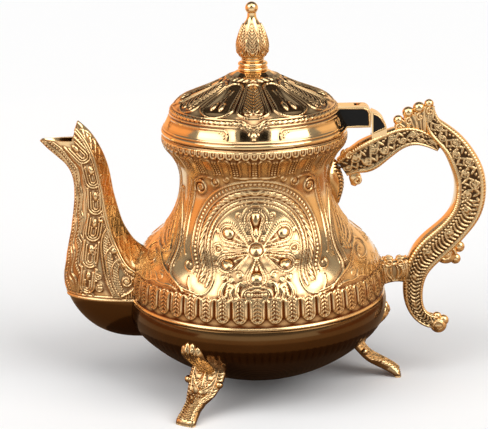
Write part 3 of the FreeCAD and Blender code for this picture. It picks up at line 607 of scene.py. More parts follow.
def shell_profile(step):
    """Outer outline of the upper shell from the seam to the mouth."""
    lower, _, _ = s_curve((SEAM_R, SHOULDER_Z), (NECK_R, NECK_Z), SHOULDER_SHARE)
    upper, centre, radius = s_curve((NECK_R, NECK_Z), (RIM_R, RIM_Z), FLARE_SHARE)
    lip = arc(centre, radius, 0, math.asin((MOUTH_Z - RIM_Z) / radius), 12)
    return even(np.concatenate([[(SEAM_R, SEAM_Z)], lower, upper[1:], lip[1:]]), step)


def bowl_profile(step):
    """Outer outline of the bowl from its flat base to the seam."""
    side = np.array([BOWL_R - BOWL_SIDE_ARC, BOWL_WIDEST_Z])
    foot = math.atan2(BASE_Z - BOWL_ARC_Z, BASE_R)
    turn = math.atan2(side[1] - BOWL_ARC_Z, side[0])
    climb = math.asin((SEAM_Z - BOWL_WIDEST_Z) / BOWL_SIDE_ARC)
    lower = arc((0, BOWL_ARC_Z), BOWL_ARC_R, foot, turn)
    return even(np.concatenate([lower, arc(side, BOWL_SIDE_ARC, turn, climb)[1:]]), step)


def lid_profile(step):
    """Outer outline of the lid from its edge to the crown."""
    shares = np.array(LID_OUTLINE)
    points = np.c_[CROWN_R + (RIM_R - CROWN_R) * shares[:, 0], LID_Z + LID_H * shares[:, 1]]
    return even(natural_spline(points, 400), step)


SHELL_LINE = shell_profile(0.5)
BOWL_LINE = bowl_profile(0.8)


def pot_radius(z):
    """Outer radius of the pot's wall at a height."""
    return np.where(z >= SEAM_Z, np.interp(z, SHELL_LINE[:, 1], SHELL_LINE[:, 0]),
                    np.interp(z, BOWL_LINE[:, 1], BOWL_LINE[:, 0]))


# Materials


def add_node(tree, kind, settings=None, links=None):
    """Adds a node, sets its properties and inputs, and links sockets to its inputs."""
    node = tree.nodes.new(kind)
    for key, value in (settings or {}).items():
        if isinstance(key, int) or key in node.inputs:
            node.inputs[key].default_value = value
        else:
            setattr(node, key, value)
    for key, socket in (links or {}).items():
        tree.links.new(socket, node.inputs[key])
    return node


def blank_material(name):
    """New material with no nodes but the object's coordinates."""
    material = bpy.data.materials.new(name)
    material.use_nodes = True
    tree = material.node_tree
    tree.nodes.clear()
    return tree, add_node(tree, "ShaderNodeTexCoord").outputs["Object"]


def noise(tree, place, size_mm, detail):
    """Noise whose patches are about a size in millimetres."""
    settings = {"Scale": 1 / (size_mm * MM), "Detail": detail}
    return add_node(tree, "ShaderNodeTexNoise", settings, {"Vector": place}).outputs["Fac"]


def spread(tree, value, low, high):
    """Range that the middle of a noise is stretched to."""
    limits = {"From Min": 0.3, "From Max": 0.7, "To Min": low, "To Max": high}
    return add_node(tree, "ShaderNodeMapRange", limits, {"Value": value}).outputs[0]


# How much the clouds of wear darken a metal, and how much rougher a hollow is than a crest
WEAR = 0.12
HOLLOW_ROUGHNESS = 0.18


def metal_finish(name, bright, hollow, rough, cloud_mm, grain_mm, grain_height):
    """Polished metal with soft clouds of wear, a fine grain, and shade painted into its hollows, which are
    also rougher.
    """
    tree, place = blank_material(name)
    deep = add_node(tree, "ShaderNodeAttribute", {"attribute_name": "hollow"}).outputs["Fac"]
    cloud = noise(tree, place, cloud_mm, 3.0)
    grain = noise(tree, place, grain_mm, 2.0)
    # painted shade: the colour is mixed towards the darker hollow colour as the mesh's shade attribute rises
    painted_shade_tint = add_node(tree, "ShaderNodeMix", {"data_type": "RGBA", 6: (*bright, 1), 7: (*hollow, 1)}, {0: deep})
    colour = add_node(tree, "ShaderNodeMix", {"data_type": "RGBA", "blend_type": "MULTIPLY", 0: 1.0},
                      {6: painted_shade_tint.outputs[2], 7: spread(tree, cloud, 1 - WEAR, 1.0)})
    dull = spread(tree, cloud, rough * 0.85, rough * 1.2)
    duller = add_node(tree, "ShaderNodeMath", {"operation": "MULTIPLY_ADD", 1: HOLLOW_ROUGHNESS},
                      {0: deep, 2: dull})
    bump = add_node(tree, "ShaderNodeBump", {"Distance": grain_height * MM}, {"Height": grain})
    shader = add_node(tree, "ShaderNodeBsdfPrincipled", {"Metallic": 1.0},
                      {"Base Color": colour.outputs[2], "Roughness": duller.outputs[0],
                       "Normal": bump.outputs["Normal"]})
    add_node(tree, "ShaderNodeOutputMaterial", None, {"Surface": shader.outputs[0]})


def enamel_finish(name, colour):
    """Glossy black enamel, smooth but for a faint orange peel."""
    tree, place = blank_material(name)
    peel = noise(tree, place, 1.5, 2.0)
    rough = add_node(tree, "ShaderNodeMapRange", {"To Min": 0.28, "To Max": 0.45}, {"Value": peel})
    bump = add_node(tree, "ShaderNodeBump", {"Distance": 0.02 * MM}, {"Height": peel})
    shader = add_node(tree, "ShaderNodeBsdfPrincipled",
                      {"Base Color": (*colour, 1), "Specular IOR Level": 0.2},
                      {"Roughness": rough.outputs[0], "Normal": bump.outputs["Normal"]})
    add_node(tree, "ShaderNodeOutputMaterial", None, {"Surface": shader.outputs[0]})


def finishes(scene):
    """The pot's materials by name, made once."""
    look = scene.pot_finish
    gold = tuple(look.gold)
    hollow = tuple(look.hollow)
    # painted shade: darker still in the hollows of castings and in the bowl's engraving
    cast_hollow_shade = tuple(c * 0.22 for c in hollow)
    bronze_hollow_shade = tuple(c * 0.3 for c in hollow)
    polish = look.polish
    wanted = {
        # gilded pressed brass: warm highlights on the relief, and brown shade painted into the ground between
        # the lines
        "gilded_pressed_brass": (gold, hollow, polish, 14.0, 0.5, 0.004),
        # gilded and buffed brass: clear long reflections, hardly any texture, and the same painted shade in
        # its hollows
        "gilded_buffed_brass": (gold, hollow, polish * 0.45, 18.0, 0.8, 0.001),
        # gilded sand casting: softer sheen, a fine skin left by the mould, and nearly black shade painted
        # into its hollows
        "gilded_cast_brass": (gold, cast_hollow_shade, polish * 1.15, 9.0, 0.7, 0.012),
        # bronze made dark brown as a painted reflection of a dark studio, less clear than a mirror, with
        # painted shade in its engraving
        "lacquered_bronze": (tuple(look.bronze), bronze_hollow_shade, polish * 0.8, 22.0, 1.2, 0.001),
        # spun brass, unplated: yellower and more matt than the outside
        "spun_brass": (tuple(look.brass), hollow, polish * 1.7, 8.0, 0.6, 0.006),
        # turned steel: grey and evenly bright
        "turned_steel": (tuple(look.steel), hollow, polish * 1.3, 6.0, 0.4, 0.004),
    }
    for name, values in wanted.items():
        if name not in bpy.data.materials:
            metal_finish(name, *values)
    if "black_enamel" not in bpy.data.materials:
        enamel_finish("black_enamel", tuple(look.enamel))
    return bpy.data.materials


# Drawings of the chasing, in millimetres across from the front and up from a piece's lower edge

ROSETTE = (0.0, 45.0)
ARCH_LINES = ((24.6, 0.42, 0.5, None), (26.7, 0.95, 0.55, 2.3), (28.5, 0.4, 0.45, None),
              (30.8, 1.6, 0.8, 3.7), (33.2, 0.42, 0.5, None), (37.2, 0.5, 0.55, None))
ARCH_DOTS_R = 35.2
ARCH_IN, ARCH_OUT = 24.6, 37.2
HOOK_IN = ((23.2, 36.3), (22.9, 28.0), (25.4, 21.4), (30.2, 18.2), (35.0, 18.6), (38.0, 22.2), (37.6, 26.6))
HOOK_OUT = ((35.6, 38.0), (34.4, 33.6), (35.4, 30.6), (38.4, 30.4), (40.0, 33.0), (38.6, 35.2), (36.9, 34.2))
PANEL_EDGE = ((50.0, 73.0), (50.4, 66.0), (48.8, 58.5), (47.3, 50.2), (47.5, 41.9), (49.5, 34.6),
              (51.1, 30.0), (50.0, 25.6), (46.0, 22.4), (42.0, 18.6))
SIDE_SCROLL = ((34.0, 18.6), (44.0, 21.0), (51.0, 25.4), (58.0, 30.0), (63.3, 35.5), (70.0, 38.6),
               (77.0, 37.0), (80.0, 32.5), (75.4, 28.4), (68.6, 28.8), (66.6, 32.2), (69.6, 34.4),
               (72.6, 33.0))
# Petals from the rosette's middle: root, centre and radius of the round end, radius of the pearl
PETALS = (((0.0, 4.2), (0.0, 16.4), 4.3, 0.1), ((0.0, -4.2), (0.0, -16.6), 4.6, 3.1),
          ((3.8, 2.2), (14.8, 8.9), 4.7, 3.0), ((3.8, -2.2), (15.4, -8.7), 4.7, 3.0))
FAN_EYE = (20.4, 45.0)
# Scrolls: centre, radius, turns, start in radians, hand, half width and height of the wire
ROSETTE_SCROLLS = (((8.4, 63.2), 2.4, 1.3, -2.0, 1, 0.36, 0.55), ((20.6, 54.6), 1.5, 1.2, 0.0, 1, 0.34, 0.5),
                   ((21.4, 37.0), 1.5, 1.2, 0.0, -1, 0.34, 0.5), ((9.0, 30.4), 2.2, 1.4, 0.8, 1, 0.36, 0.55),
                   ((13.4, 27.6), 2.0, 1.4, 0.4, -1, 0.36, 0.55), ((7.4, 25.4), 1.7, 1.4, 1.6, 1, 0.36, 0.55),
                   ((17.4, 28.8), 1.7, 1.4, 2.6, 1, 0.36, 0.55))
FLANK_SCROLLS = (((31.6, 76.4), 5.0, 1.7, -0.4, 1, 0.62, 0.75), ((21.6, 80.8), 2.9, 1.4, -0.2, -1, 0.45, 0.6),
                 ((15.2, 83.0), 1.8, 1.2, -0.2, -1, 0.4, 0.5), ((58.6, 23.4), 2.6, 1.6, 2.4, -1, 0.42, 0.5),
                 ((86.6, 24.0), 3.0, 1.6, 2.8, -1, 0.42, 0.5), ((84.6, 44.0), 2.8, 1.6, 0.2, 1, 0.42, 0.5),
                 ((89.0, 33.0), 2.6, 1.6, 0.4, 1, 0.42, 0.5))
# Wires: the points they go through, half width and height
CROWN_LINES = ((((0.0, 23.6), (3.0, 23.2), (6.6, 21.4), (8.0, 18.2)), 0.42, 0.6),
               (((0.0, 17.6), (4.0, 17.2), (8.0, 17.6), (12.0, 17.2)), 0.4, 0.5))
CROWN_DRAPES = (((8.4, 26.2), (10.2, 23.0), (10.6, 19.6), (9.4, 17.4)),
                ((15.6, 26.0), (18.2, 21.8), (18.6, 18.6), (17.0, 16.8)),
                ((12.4, 22.6), (13.8, 19.8), (13.2, 17.2)))
FLANK_LINES = ((PANEL_EDGE, 0.75, 0.75),
               (((0.0, 84.2), (8.0, 83.8), (13.0, 84.8)), 0.4, 0.5),
               (((24.0, 82.6), (27.6, 83.4), (31.6, 82.6), (36.4, 79.2)), 0.5, 0.6),
               (((36.6, 76.0), (37.4, 70.0), (40.4, 61.0), (42.0, 52.0), (42.2, 45.0), (41.0, 39.0)),
                0.45, 0.5),
               (((39.0, 79.0), (41.0, 72.0), (43.8, 62.0), (45.2, 52.0), (45.2, 45.0), (44.4, 40.0)),
                0.4, 0.4),
               (((46.0, 18.4), (52.0, 19.8), (58.0, 19.4), (64.0, 20.2), (72.0, 18.2), (80.0, 18.8)),
                0.45, 0.55),
               (((52.6, 84.0), (54.4, 74.0), (57.0, 66.0), (62.0, 60.0)), 0.5, 0.55))
FLANK_BEADS = ((40.0, 72.0), (42.2, 62.0), (43.6, 52.0), (43.6, 42.0))
# Leaves of the spray beside the panel: tip, width and how far they bend aside
SPRAY_ROOT = (54.0, 38.6)
SPRAY = (((54.6, 62.0), 1.3, -0.1), ((60.4, 58.4), 1.5, -0.12), ((66.0, 54.0), 1.6, -0.14),
         ((71.6, 48.8), 1.6, -0.16), ((75.4, 43.2), 1.4, -0.18))
# Lines that fall from the neck: where the first one goes, and how far apart they lie there
FLOW = ((52.0, 84.0, 1.6), (54.0, 70.0, 2.6), (58.0, 57.0, 3.8), (64.0, 46.0, 4.4))
# Bands: lower and upper edge, and half the width of the motif that repeats
TONGUE_LOW, TONGUE_HIGH, TONGUE_HALF = 3.9, 16.9, 3.25
COLUMN_LOW, COLUMN_HIGH, COLUMN_HALF = 85.0, 97.0, 2.35
LACE_LOW, LACE_HIGH, LACE_HALF = 97.2, 101.6, 1.65
LACE_EYE = 99.6
# Above the tongues the relief grows shallower from the front to the sides
RELIEF_FROM = 17.5
RELIEF_ACROSS = (44.0, 64.0)
RELIEF_SHARES = (0.9, 0.6)
# Columns of points in a quarter turn of the shell and of the lid, and all round the bowl and the finial
SHELL_SPAN, LID_SPAN = 216, 165
BOWL_COLUMNS, FINIAL_COLUMNS = 880, 192


def arch_path(radius):
    """Line of the horseshoe at a radius, from its crown down to where it flares."""
    share = (radius - ARCH_IN) / (ARCH_OUT - ARCH_IN)
    top = arc(ROSETTE, radius, math.pi / 2, -0.06, 60)
    hook = [(1 - share) * np.array(a) + share * np.array(b) for a, b in zip(HOOK_IN, HOOK_OUT)]
    if 0 < share < 1:
        hook = hook[:3]
    return even(np.concatenate([top, natural_spline([top[-1]] + hook, 80)[1:]]), 0.8)


def chase_arch(sheet):
    """Horseshoe of wires and ropes round the rosette, with its flared ends."""
    for radius, half, height, pitch in ARCH_LINES:
        sheet.line(arch_path(radius), half, height, pitch)
    sheet.beads(arch_path(ARCH_DOTS_R), 2.3, 0.72, 0.5)


def chase_rosette(sheet):
    """Six petals and two fans round a button inside the horseshoe."""
    x, s = ROSETTE
    up = math.pi / 2
    sheet.dome(ROSETTE, 3.4, 1.0)
    sheet.dome(ROSETTE, 1.7, 1.5)
    sheet.ring(ROSETTE, 4.3, 0.4, 0.7)
    for root, centre, radius, pearl in PETALS:
        sheet.petal(np.add(ROSETTE, root), np.add(ROSETTE, centre), radius, pearl)
    sheet.dome((x, s + 16.6), 2.2, 1.4, 3.6, up, -0.2)
    sheet.dome((x, s + 9.6), 1.15, 1.0, 2.8, up)
    for slope in (-0.16, -0.05, 0.05, 0.16):
        sheet.line(((4.6, s + 4.6 * slope), (17.4, s + 17.4 * slope)), 0.3, 0.5)
    sheet.ring(FAN_EYE, 2.1, 0.36, 0.6)
    sheet.dome(FAN_EYE, 0.9, 0.8)
    sheet.beads(arc(FAN_EYE, 3.3, -1.6, 1.6, 12), 1.1, 0.4, 0.45)
    sheet.line(arc((x, s + 17.0), 7.0, 0.25, up, 12), 0.32, 0.5)
    for share in (0.0, 0.33, 0.66, 1.0):
        foot = (2.6 + 1.3 * share, s + 5.6)
        sheet.beads((foot, (5.0 + 3.0 * share, s + 14.4)), 1.15, 0.4, 0.45)
    for scroll in ROSETTE_SCROLLS:
        sheet.volute(*scroll)
    for tip in ((11.6, 25.2), (14.4, 23.8), (17.0, 25.6)):
        sheet.leaf((10.0, 21.0), tip, 0.95, 0.6, 0.12)


def chase_crown(sheet):
    """Dense little crown between the rosette and the tongues, with draped leaves at its sides."""
    sheet.ring((4.4, 19.6), 1.75, 0.4, 0.6)
    sheet.dome((4.4, 19.6), 0.95, 0.9)
    for x in (0.0, 1.4, 2.6):
        sheet.dome((x, 21.8 - x * 0.25), 0.62, 0.7)
        sheet.dome((x, 19.4), 0.6, 0.7)
    sheet.lay_lines(CROWN_LINES)
    for path in CROWN_DRAPES:
        shifted = [(x + 1.5, s - 0.2) for x, s in path]
        sheet.lay_lines(((path, 0.75, 0.7), (shifted, 0.32, 0.45)))
    for k in range(5):
        sheet.dome((14.6 + 0.35 * k, 24.6 - 1.5 * k), 0.55, 0.5, 1.3, -0.5)


def chase_flanks(sheet):
    """Scrolls between the neck and the horseshoe, the plain panel's edge and the acanthus sprays."""
    for scroll in FLANK_SCROLLS:
        sheet.volute(*scroll)
    sheet.lay_lines(FLANK_LINES)
    sheet.beads(bent(FLANK_BEADS), 1.5, 0.45, 0.35)
    for shift, half, height in ((0.0, 0.55, 0.75), (-1.5, 0.32, 0.5)):
        scroll = [(x + shift * 0.6, s + shift) for x, s in SIDE_SCROLL]
        sheet.line(bent(scroll), half, height)
    sheet.beads(bent([(x + 1.2, s - 1.6) for x, s in SIDE_SCROLL[1:6]]), 1.4, 0.5, 0.5)
    for shift in (-2.0, 2.2, 3.9):
        beside = [(x + shift, s + 0.6) for x, s in PANEL_EDGE[:-3]]
        sheet.line(bent(beside), 0.34, 0.5)
    for tip, width, curl in SPRAY:
        sheet.leaf(SPRAY_ROOT, tip, width, 0.6, curl, 8)
    for k in range(8):
        flow = [(x + spread_by * k, s) for x, s, spread_by in FLOW]
        sheet.line(bent(flow), 0.36, 0.5)
        sheet.leaf((62.0 + 5.5 * k, 19.0), (64.6 + 5.5 * k, 24.0), 1.1, 0.55, 0.2)
    for k in range(7):
        turn = 0.9 - 0.32 * k
        tip = (88.0 + 13.0 * math.cos(turn), 42.0 + 13.0 * math.sin(turn))
        sheet.leaf((86.0, 40.0), tip, 1.4, 0.6, 0.1, 5)


def chase_tongues(sheet, angle, radius, count):
    """Round-footed tongues above the seam, joined by small arches and filled with chevrons."""
    low, high = TONGUE_LOW, TONGUE_HIGH
    part = sheet.band(low - 1, high + 1.5)
    u, spacing = repeats(angle, count, radius[part])
    s = sheet.s[part]
    top = high - 1.6
    foot = low + 0.6 + TONGUE_HALF
    for half, thick, height, over in ((TONGUE_HALF, 0.48, 0.85, 0.0), (2.2, 0.36, 0.6, 1.2)):
        off = np.where(s > foot, np.abs(u - half), off_ring(u, s - foot, half))
        sheet.lay(part, wire(off, thick, height) * (s < top + over))
    off = off_ring(spacing - u, s - top, spacing - TONGUE_HALF)
    sheet.lay(part, wire(off, 0.48, 0.85) * (s >= top))
    chevron = 0.5 + 0.5 * np.cos(TURN * (s + 0.85 * u) / 2.0)
    inside = (u < 1.75) * (u > 0.22) * (s > low + 2.4) * (s < high + 0.4)
    sheet.lay(part, 0.62 * chevron * inside)


def chase_columns(sheet, angle, radius, count):
    """Columns of double beads round the neck under small arches."""
    part = sheet.band(COLUMN_LOW, COLUMN_HIGH)
    u, spacing = repeats(angle, count, radius[part])
    s = sheet.s[part]
    top = COLUMN_HIGH - 2.7
    arch = off_ring(spacing - u, s - top, spacing - COLUMN_HALF)
    sheet.lay(part, wire(np.where(s < top, np.abs(u - COLUMN_HALF), arch), 0.42, 0.65))
    bead = np.hypot(u - 0.8, (s / 1.55 % 1 - 0.5) * 1.55)
    sheet.lay(part, wire(bead, 0.62, 0.75) * (s < COLUMN_HIGH - 1.0) * (s > COLUMN_LOW + 0.8))


def chase_lace(sheet, angle, radius, count):
    """Loops with a pearl in each, hung from a wire under the rim."""
    part = sheet.band(LACE_LOW, LACE_HIGH)
    u, _ = repeats(angle, count, radius[part])
    s = sheet.s[part]
    off = np.where(s < LACE_EYE, off_ring(u, s - LACE_EYE, LACE_HALF), np.abs(u - LACE_HALF))
    sheet.lay(part, wire(off, 0.5, 0.7) * (s < LACE_HIGH - 0.4))
    sheet.lay(part, wire(np.hypot(u, s - LACE_EYE - 0.3), 0.72, 0.6))
    sheet.lay(part, wire(s - LACE_HIGH + 0.3, 0.45, 0.6))


class POT_OT_shell(bpy.types.Operator):
    """Upper shell with its horseshoe, rosette and bands, front and back"""
    bl_idname = "pot.shell"
    bl_label = "Chased shell"

    def execute(self, context):
        counts = context.scene.pot_chasing
        outer = SHELL_LINE
        radius = outer[:, :1]
        sheet, angle = quarter_sheet(outer, SHELL_SPAN)
        sheet.lay_all(wire(sheet.s - BEAD_R, BEAD_R, BEAD_R))
        chase_tongues(sheet, angle, radius, counts.tongues)
        chase_columns(sheet, angle, radius, counts.columns)
        chase_lace(sheet, angle, radius, counts.loops)
        for chase in (chase_arch, chase_rosette, chase_crown, chase_flanks):
            chase(sheet)
        sheet.h *= np.where(sheet.s > RELIEF_FROM, np.interp(sheet.x, RELIEF_ACROSS, RELIEF_SHARES), 1.0)
        lift = folded(sheet.h) * counts.depth
        columns = lift.shape[1]
        inner = even(outer - profile_normals(outer) * WALL, 2.5)[::-1]
        rings = np.concatenate([turned(outer, columns, lift), turned(inner, columns)])
        # the wall is pushed out into the spout where the strainer's window is
        away = np.hypot(rings[..., 1], rings[..., 2] - WINDOW_Z) / WINDOW_R
        rings[..., 0] -= WINDOW_BULGE * np.clip(1 - away ** 2, 0, 1) * (rings[..., 0] < 0)
        metal = Metal()
        # painted shade in the hollows of the chasing
        metal.lathed(rings, np.concatenate([folded(hollows(sheet.h)), np.zeros((len(inner), columns))]))
        finish = finishes(context.scene)["gilded_pressed_brass"]
        metal.make("shell_chased", finish, "pot", "embossed_gold", "upper_shell")
        return {"FINISHED"}


# Faint engraving on the bowl: flutes round its upper part and nested arcs below them
FLUTES, FLUTE_DEPTH, FLUTE_Z, FLUTE_REACH = 110, 0.07, 36.0, 5.0
ARCS_EYE_Z, ARCS_DEPTH, ARCS_Z, ARCS_REACH, ARCS_PITCH = 16.0, 0.08, 23.0, 9.0, 3.4
COLLAR_H = 5.0


class POT_OT_bowl(bpy.types.Operator):
    """Bowl under the seam, polished and faintly engraved"""
    bl_idname = "pot.bowl"
    bl_label = "Polished bowl"

    def execute(self, context):
        outer = BOWL_LINE
        fit = SEAM_R - WALL - 0.05
        collar = [(fit, SEAM_Z), (fit, SEAM_Z + COLLAR_H), (fit - WALL, SEAM_Z + COLLAR_H),
                  (fit - WALL, SEAM_Z - 1.5)]
        inner = even(outer - profile_normals(outer) * WALL, 2.5)[::-1]
        inner = inner[inner[:, 1] < SEAM_Z - 1.6]
        profile = np.concatenate([[(BASE_R * 0.5, BASE_Z)], outer, collar, inner])
        angle = full_turn(BOWL_COLUMNS)
        z = profile[:, 1:]
        quarter = BOWL_R * TURN / 4
        fold = np.abs((angle / TURN * 4) % 2 - 1) * quarter
        flute = np.cos(angle * FLUTES) * np.clip(1 - np.abs(z - FLUTE_Z) / FLUTE_REACH, 0, 1)
        nest = np.hypot(fold - quarter, (z - ARCS_EYE_Z) * 1.6)
        arcs = np.cos(TURN * nest / ARCS_PITCH) * np.clip(1 - np.abs(z - ARCS_Z) / ARCS_REACH, 0, 1)
        outside = (np.arange(len(z)) <= len(outer))[:, None]
        ripple = (FLUTE_DEPTH * flute + ARCS_DEPTH * arcs) * outside
        metal = Metal()
        # painted shade: the low parts of the engraving are darkened
        metal.tube(turned(profile, BOWL_COLUMNS, ripple), np.clip(-ripple / ARCS_DEPTH, 0, 1) * 0.7)
        # painted reflection: dark brown bronze stands for the dark studio that the polished bowl mirrors
        finish = finishes(context.scene)["lacquered_bronze"]
        metal.make("bowl_polished", finish, "pot", "polished_gold", "lower_bowl")
        return {"FINISHED"}


# Lid

# Cusped line of the lid, and its wires and rope: how far above that line, half width, height, pitch of a rope
CUSP = ((0.0, 8.4), (2.2, 9.2), (5.2, 11.4), (9.0, 12.0), (74.0, 12.0))
CUSP_LINES = ((0.0, 0.42, 0.5, None), (1.9, 1.25, 1.1, 3.2), (3.8, 0.42, 0.5, None))
CUSP_PEARLS = ((0.0, 7.2, 1.5, 0.7), (1.9, 8.0, 0.7, 0.5), (0.0, 5.2, 0.7, 0.5))
# Cartouche on the band: left, right, lower and upper edge, and the bend of its corners
CARTOUCHE = (14.0, 60.0, 5.0, 10.2, 2.6)
LID_PANELS = 6
PANEL_LOW, PANEL_TOP, PANEL_SQUASH = 16.6, 46.4, 0.62
# Outlines of the panels: if it is a drop, share of the space, half width and height of the wire, rope pitch
PANEL_LINES = ((False, 0.40, 0.5, 0.7, None), (False, 0.32, 0.32, 0.5, None), (True, 0.47, 0.5, 0.7, None),
               (True, 0.385, 0.42, 0.55, 1.15))
ROPE_S, ROPE_TURNS = 49.6, 26


def chase_lid(sheet, angle, profile):
    """Hem, cartouches, the cusped rope, leaf and drop panels in turn and the rope below the collar."""
    radius = profile[:, :1]
    s = sheet.s
    sheet.lay_all(wire(s - 1.3, 1.3, 0.55))
    sheet.lay_all(wire(s - 3.4, 0.35, 0.3))
    for lift, half, height, pitch in CUSP_LINES:
        sheet.line(even(np.add(CUSP, (0.0, lift)), 0.7), half, height, pitch)
    for x, up, size, height in CUSP_PEARLS:
        sheet.dome((x, up), size, height)
    left, right, low, high, bend = CARTOUCHE
    corners = np.concatenate([arc((left + bend, high - bend), bend, math.pi, math.pi / 2, 9),
                              arc((right - bend, high - bend), bend, math.pi / 2, 0, 9)])
    sheet.line(np.concatenate([[(left, low)], corners, [(right, low)]]), 0.42, 0.5)
    teeth = arc((left + 4.4, high - 4.2), 2.6, math.pi, math.pi / 2, 7)
    for row in (teeth, np.c_[right + left - teeth[:, 0], teeth[:, 1]]):
        sheet.beads(row, 1.2, 0.5, 0.45)
    part = sheet.band(15.6, 47.5)
    t = s[part]
    u, w = repeats(angle, LID_PANELS, radius[part])
    drop_u = w - u
    for is_drop, share, half, height, pitch in PANEL_LINES:
        centre = drop_u if is_drop else u
        bell = share * w
        foot = PANEL_LOW + bell * PANEL_SQUASH
        round_foot = off_ring(centre, (t - foot) / PANEL_SQUASH, bell)
        off = np.where(t > foot, np.abs(centre - bell), round_foot)
        top = PANEL_TOP - bell
        off = np.where(t > top, off_ring(centre, t - top, bell), off)
        twist = 0.55 + 0.45 * np.cos(TURN * t / pitch) if pitch else 1.0
        sheet.lay(part, wire(off, half, height) * twist)
    stem = wire(u, 0.36, 0.6) * (t > 20) * (t < 44)
    leaf_off = np.abs(((t - 1.25 * u) / 2.9) % 1 - 0.5) * 2.9
    leaves = wire(leaf_off, 1.05, 0.55) * (u < 0.27 * w) * (u > 0.3) * (t > 20.5) * (t < 42)
    sheet.lay(part, np.maximum(stem, leaves))
    sheet.lay(part, wire(off_ring(u - 2.7, t - 20.6, 1.7), 0.42, 0.6))
    slant = np.hypot((drop_u - 0.12 * w) / 1.5, (t - 24.5) / 3.6)
    sheet.lay(part, wire(slant, 1, 1.1) * (drop_u < 0.3 * w))
    tail = np.abs(drop_u - 0.06 * w - 0.012 * (t - 34) ** 2)
    sheet.lay(part, wire(tail, 0.4, 0.5) * (t > 27) * (t < 40))
    part = sheet.band(ROPE_S - 2.0, ROPE_S + 2.0)
    twist = 0.5 + 0.5 * np.cos(angle * ROPE_TURNS + TURN * s[part] / 4.5)
    sheet.lay(part, wire(s[part] - ROPE_S, 1.7, 0.75) * (0.35 + 0.65 * twist))


def chase_finial(sheet, angle, profile):
    """Eight leaves that stand round the bud, each with a pearl at its foot."""
    s = sheet.s
    u, half_space = repeats(angle, 8, profile[:, :1])
    run = np.clip((s - 3.2) / 19.0, 0, 1)
    open_to = 0.92 * half_space * np.sin(np.pi * np.clip(run * 0.9 + 0.1, 0, 1)) ** 0.6
    edge = wire(np.abs(u - open_to), 0.34, 0.5)
    vein = wire(u, 0.26, 0.4)
    rib = wire(np.abs(((s - 1.3 * u) / 1.9) % 1 - 0.5) * 1.9, 0.5, 0.32) * (u < open_to)
    pearl = wire(np.hypot(u, s - 6.0), 1.3, 0.8)
    sheet.lay_all(np.maximum.reduce([edge, vein, rib, pearl]) * (s > 3.2) * (s < 22.0))
    for level in (1.0, 2.4):
        sheet.lay_all(wire(s - level, 0.7, 0.35))


class POT_OT_lid(bpy.types.Operator):
    """Chased lid, its double collar and the bud with a ball"""
    bl_idname = "pot.lid"
    bl_label = "Chased lid"

    def execute(self, context):
        gold = finishes(context.scene)
        depth = context.scene.pot_chasing.depth
        self.dome(gold["gilded_buffed_brass"], depth)
        self.collar(gold["gilded_buffed_brass"])
        self.finial(gold["gilded_pressed_brass"], depth)
        return {"FINISHED"}

    def dome(self, finish, depth):
        outer = lid_profile(0.45)
        sheet, angle = quarter_sheet(outer, LID_SPAN)
        chase_lid(sheet, angle, outer)
        lift = folded(sheet.h) * depth
        columns = lift.shape[1]
        under = even(outer - profile_normals(outer) * WALL, 2.0)[::-1]
        under = under[(under[:, 1] > LID_Z + HEM_H + 0.4) & (under[:, 0] > 6.5)]
        hem = [(RIM_R - HEM_T, LID_Z + HEM_H), (RIM_R - HEM_T, LID_Z)]
        inside = np.concatenate([[(STUD_HOLE_R, CROWN_Z), (STUD_HOLE_R, CROWN_Z - WALL)], under, hem])
        rings = np.concatenate([turned(outer, columns, lift), turned(inside, columns)])
        metal = Metal()
        # painted shade in the hollows of the lid's chasing
        metal.lathed(rings, np.concatenate([folded(hollows(sheet.h)), np.zeros((len(inside), columns))]))
        metal.make("lid_chased", finish, "lid", "embossed_gold", "lid_dome")

    def collar(self, finish):
        ring = (COLLAR_TOP_Z - CROWN_Z) / 4
        up = math.pi / 2
        beads = [arc((COLLAR_R - ring, CROWN_Z + k * ring), ring, -up, up, 15) for k in (1, 3)]
        bore = STUD_HOLE_R + 0.05
        metal = Metal()
        metal.tube(turned(np.concatenate([[(bore, CROWN_Z)]] + beads + [[(bore, COLLAR_TOP_Z)]]), 144))
        metal.make("collar_rings", finish, "lid", "polished_gold", "finial_collar")

    def finial(self, finish, depth):
        bud = even(natural_spline(FINIAL_OUTLINE, 200) + (0.0, COLLAR_TOP_Z), 0.35)
        sheet, angle = quarter_sheet(bud, FINIAL_COLUMNS // 4)
        chase_finial(sheet, angle, bud)
        ball = arc((0, FINIAL_TOP_Z - BALL_R), BALL_R, -0.75, math.pi / 2 - 0.03, 22)
        metal = Metal()
        lift = folded(sheet.h) * depth
        rings = np.concatenate([turned(bud, FINIAL_COLUMNS, lift), turned(ball, FINIAL_COLUMNS)])
        plain = np.zeros((len(ball), FINIAL_COLUMNS))
        # painted shade in the hollows of the bud's leaves
        metal.tube(rings, np.concatenate([folded(hollows(sheet.h, 3)), plain]))
        metal.make("finial_bud", finish, "lid", "embossed_gold", "finial")


# Spout


def spout_frame(row):
    """Crest, front and the points of the round of the front in one section."""
    crest = np.array([-SEAM_R - row[0], 0.0, SEAM_Z + row[1]])
    front = np.array([-SEAM_R - row[2], 0.0, SEAM_Z + row[3]])
    run = front - crest
    side = np.array([0.0, -1.0, 0.0])
    shares = (row[4], BELLY_SHARE, BROW_SHARE)
    halves = (row[5], row[6], row[6] * BROW_WIDTH)
    near = [crest + run * share + side * half for share, half in zip(shares, halves)]
    far = [p * (1, -1, 1) for p in reversed(near)]
    return crest, near + [front] + far


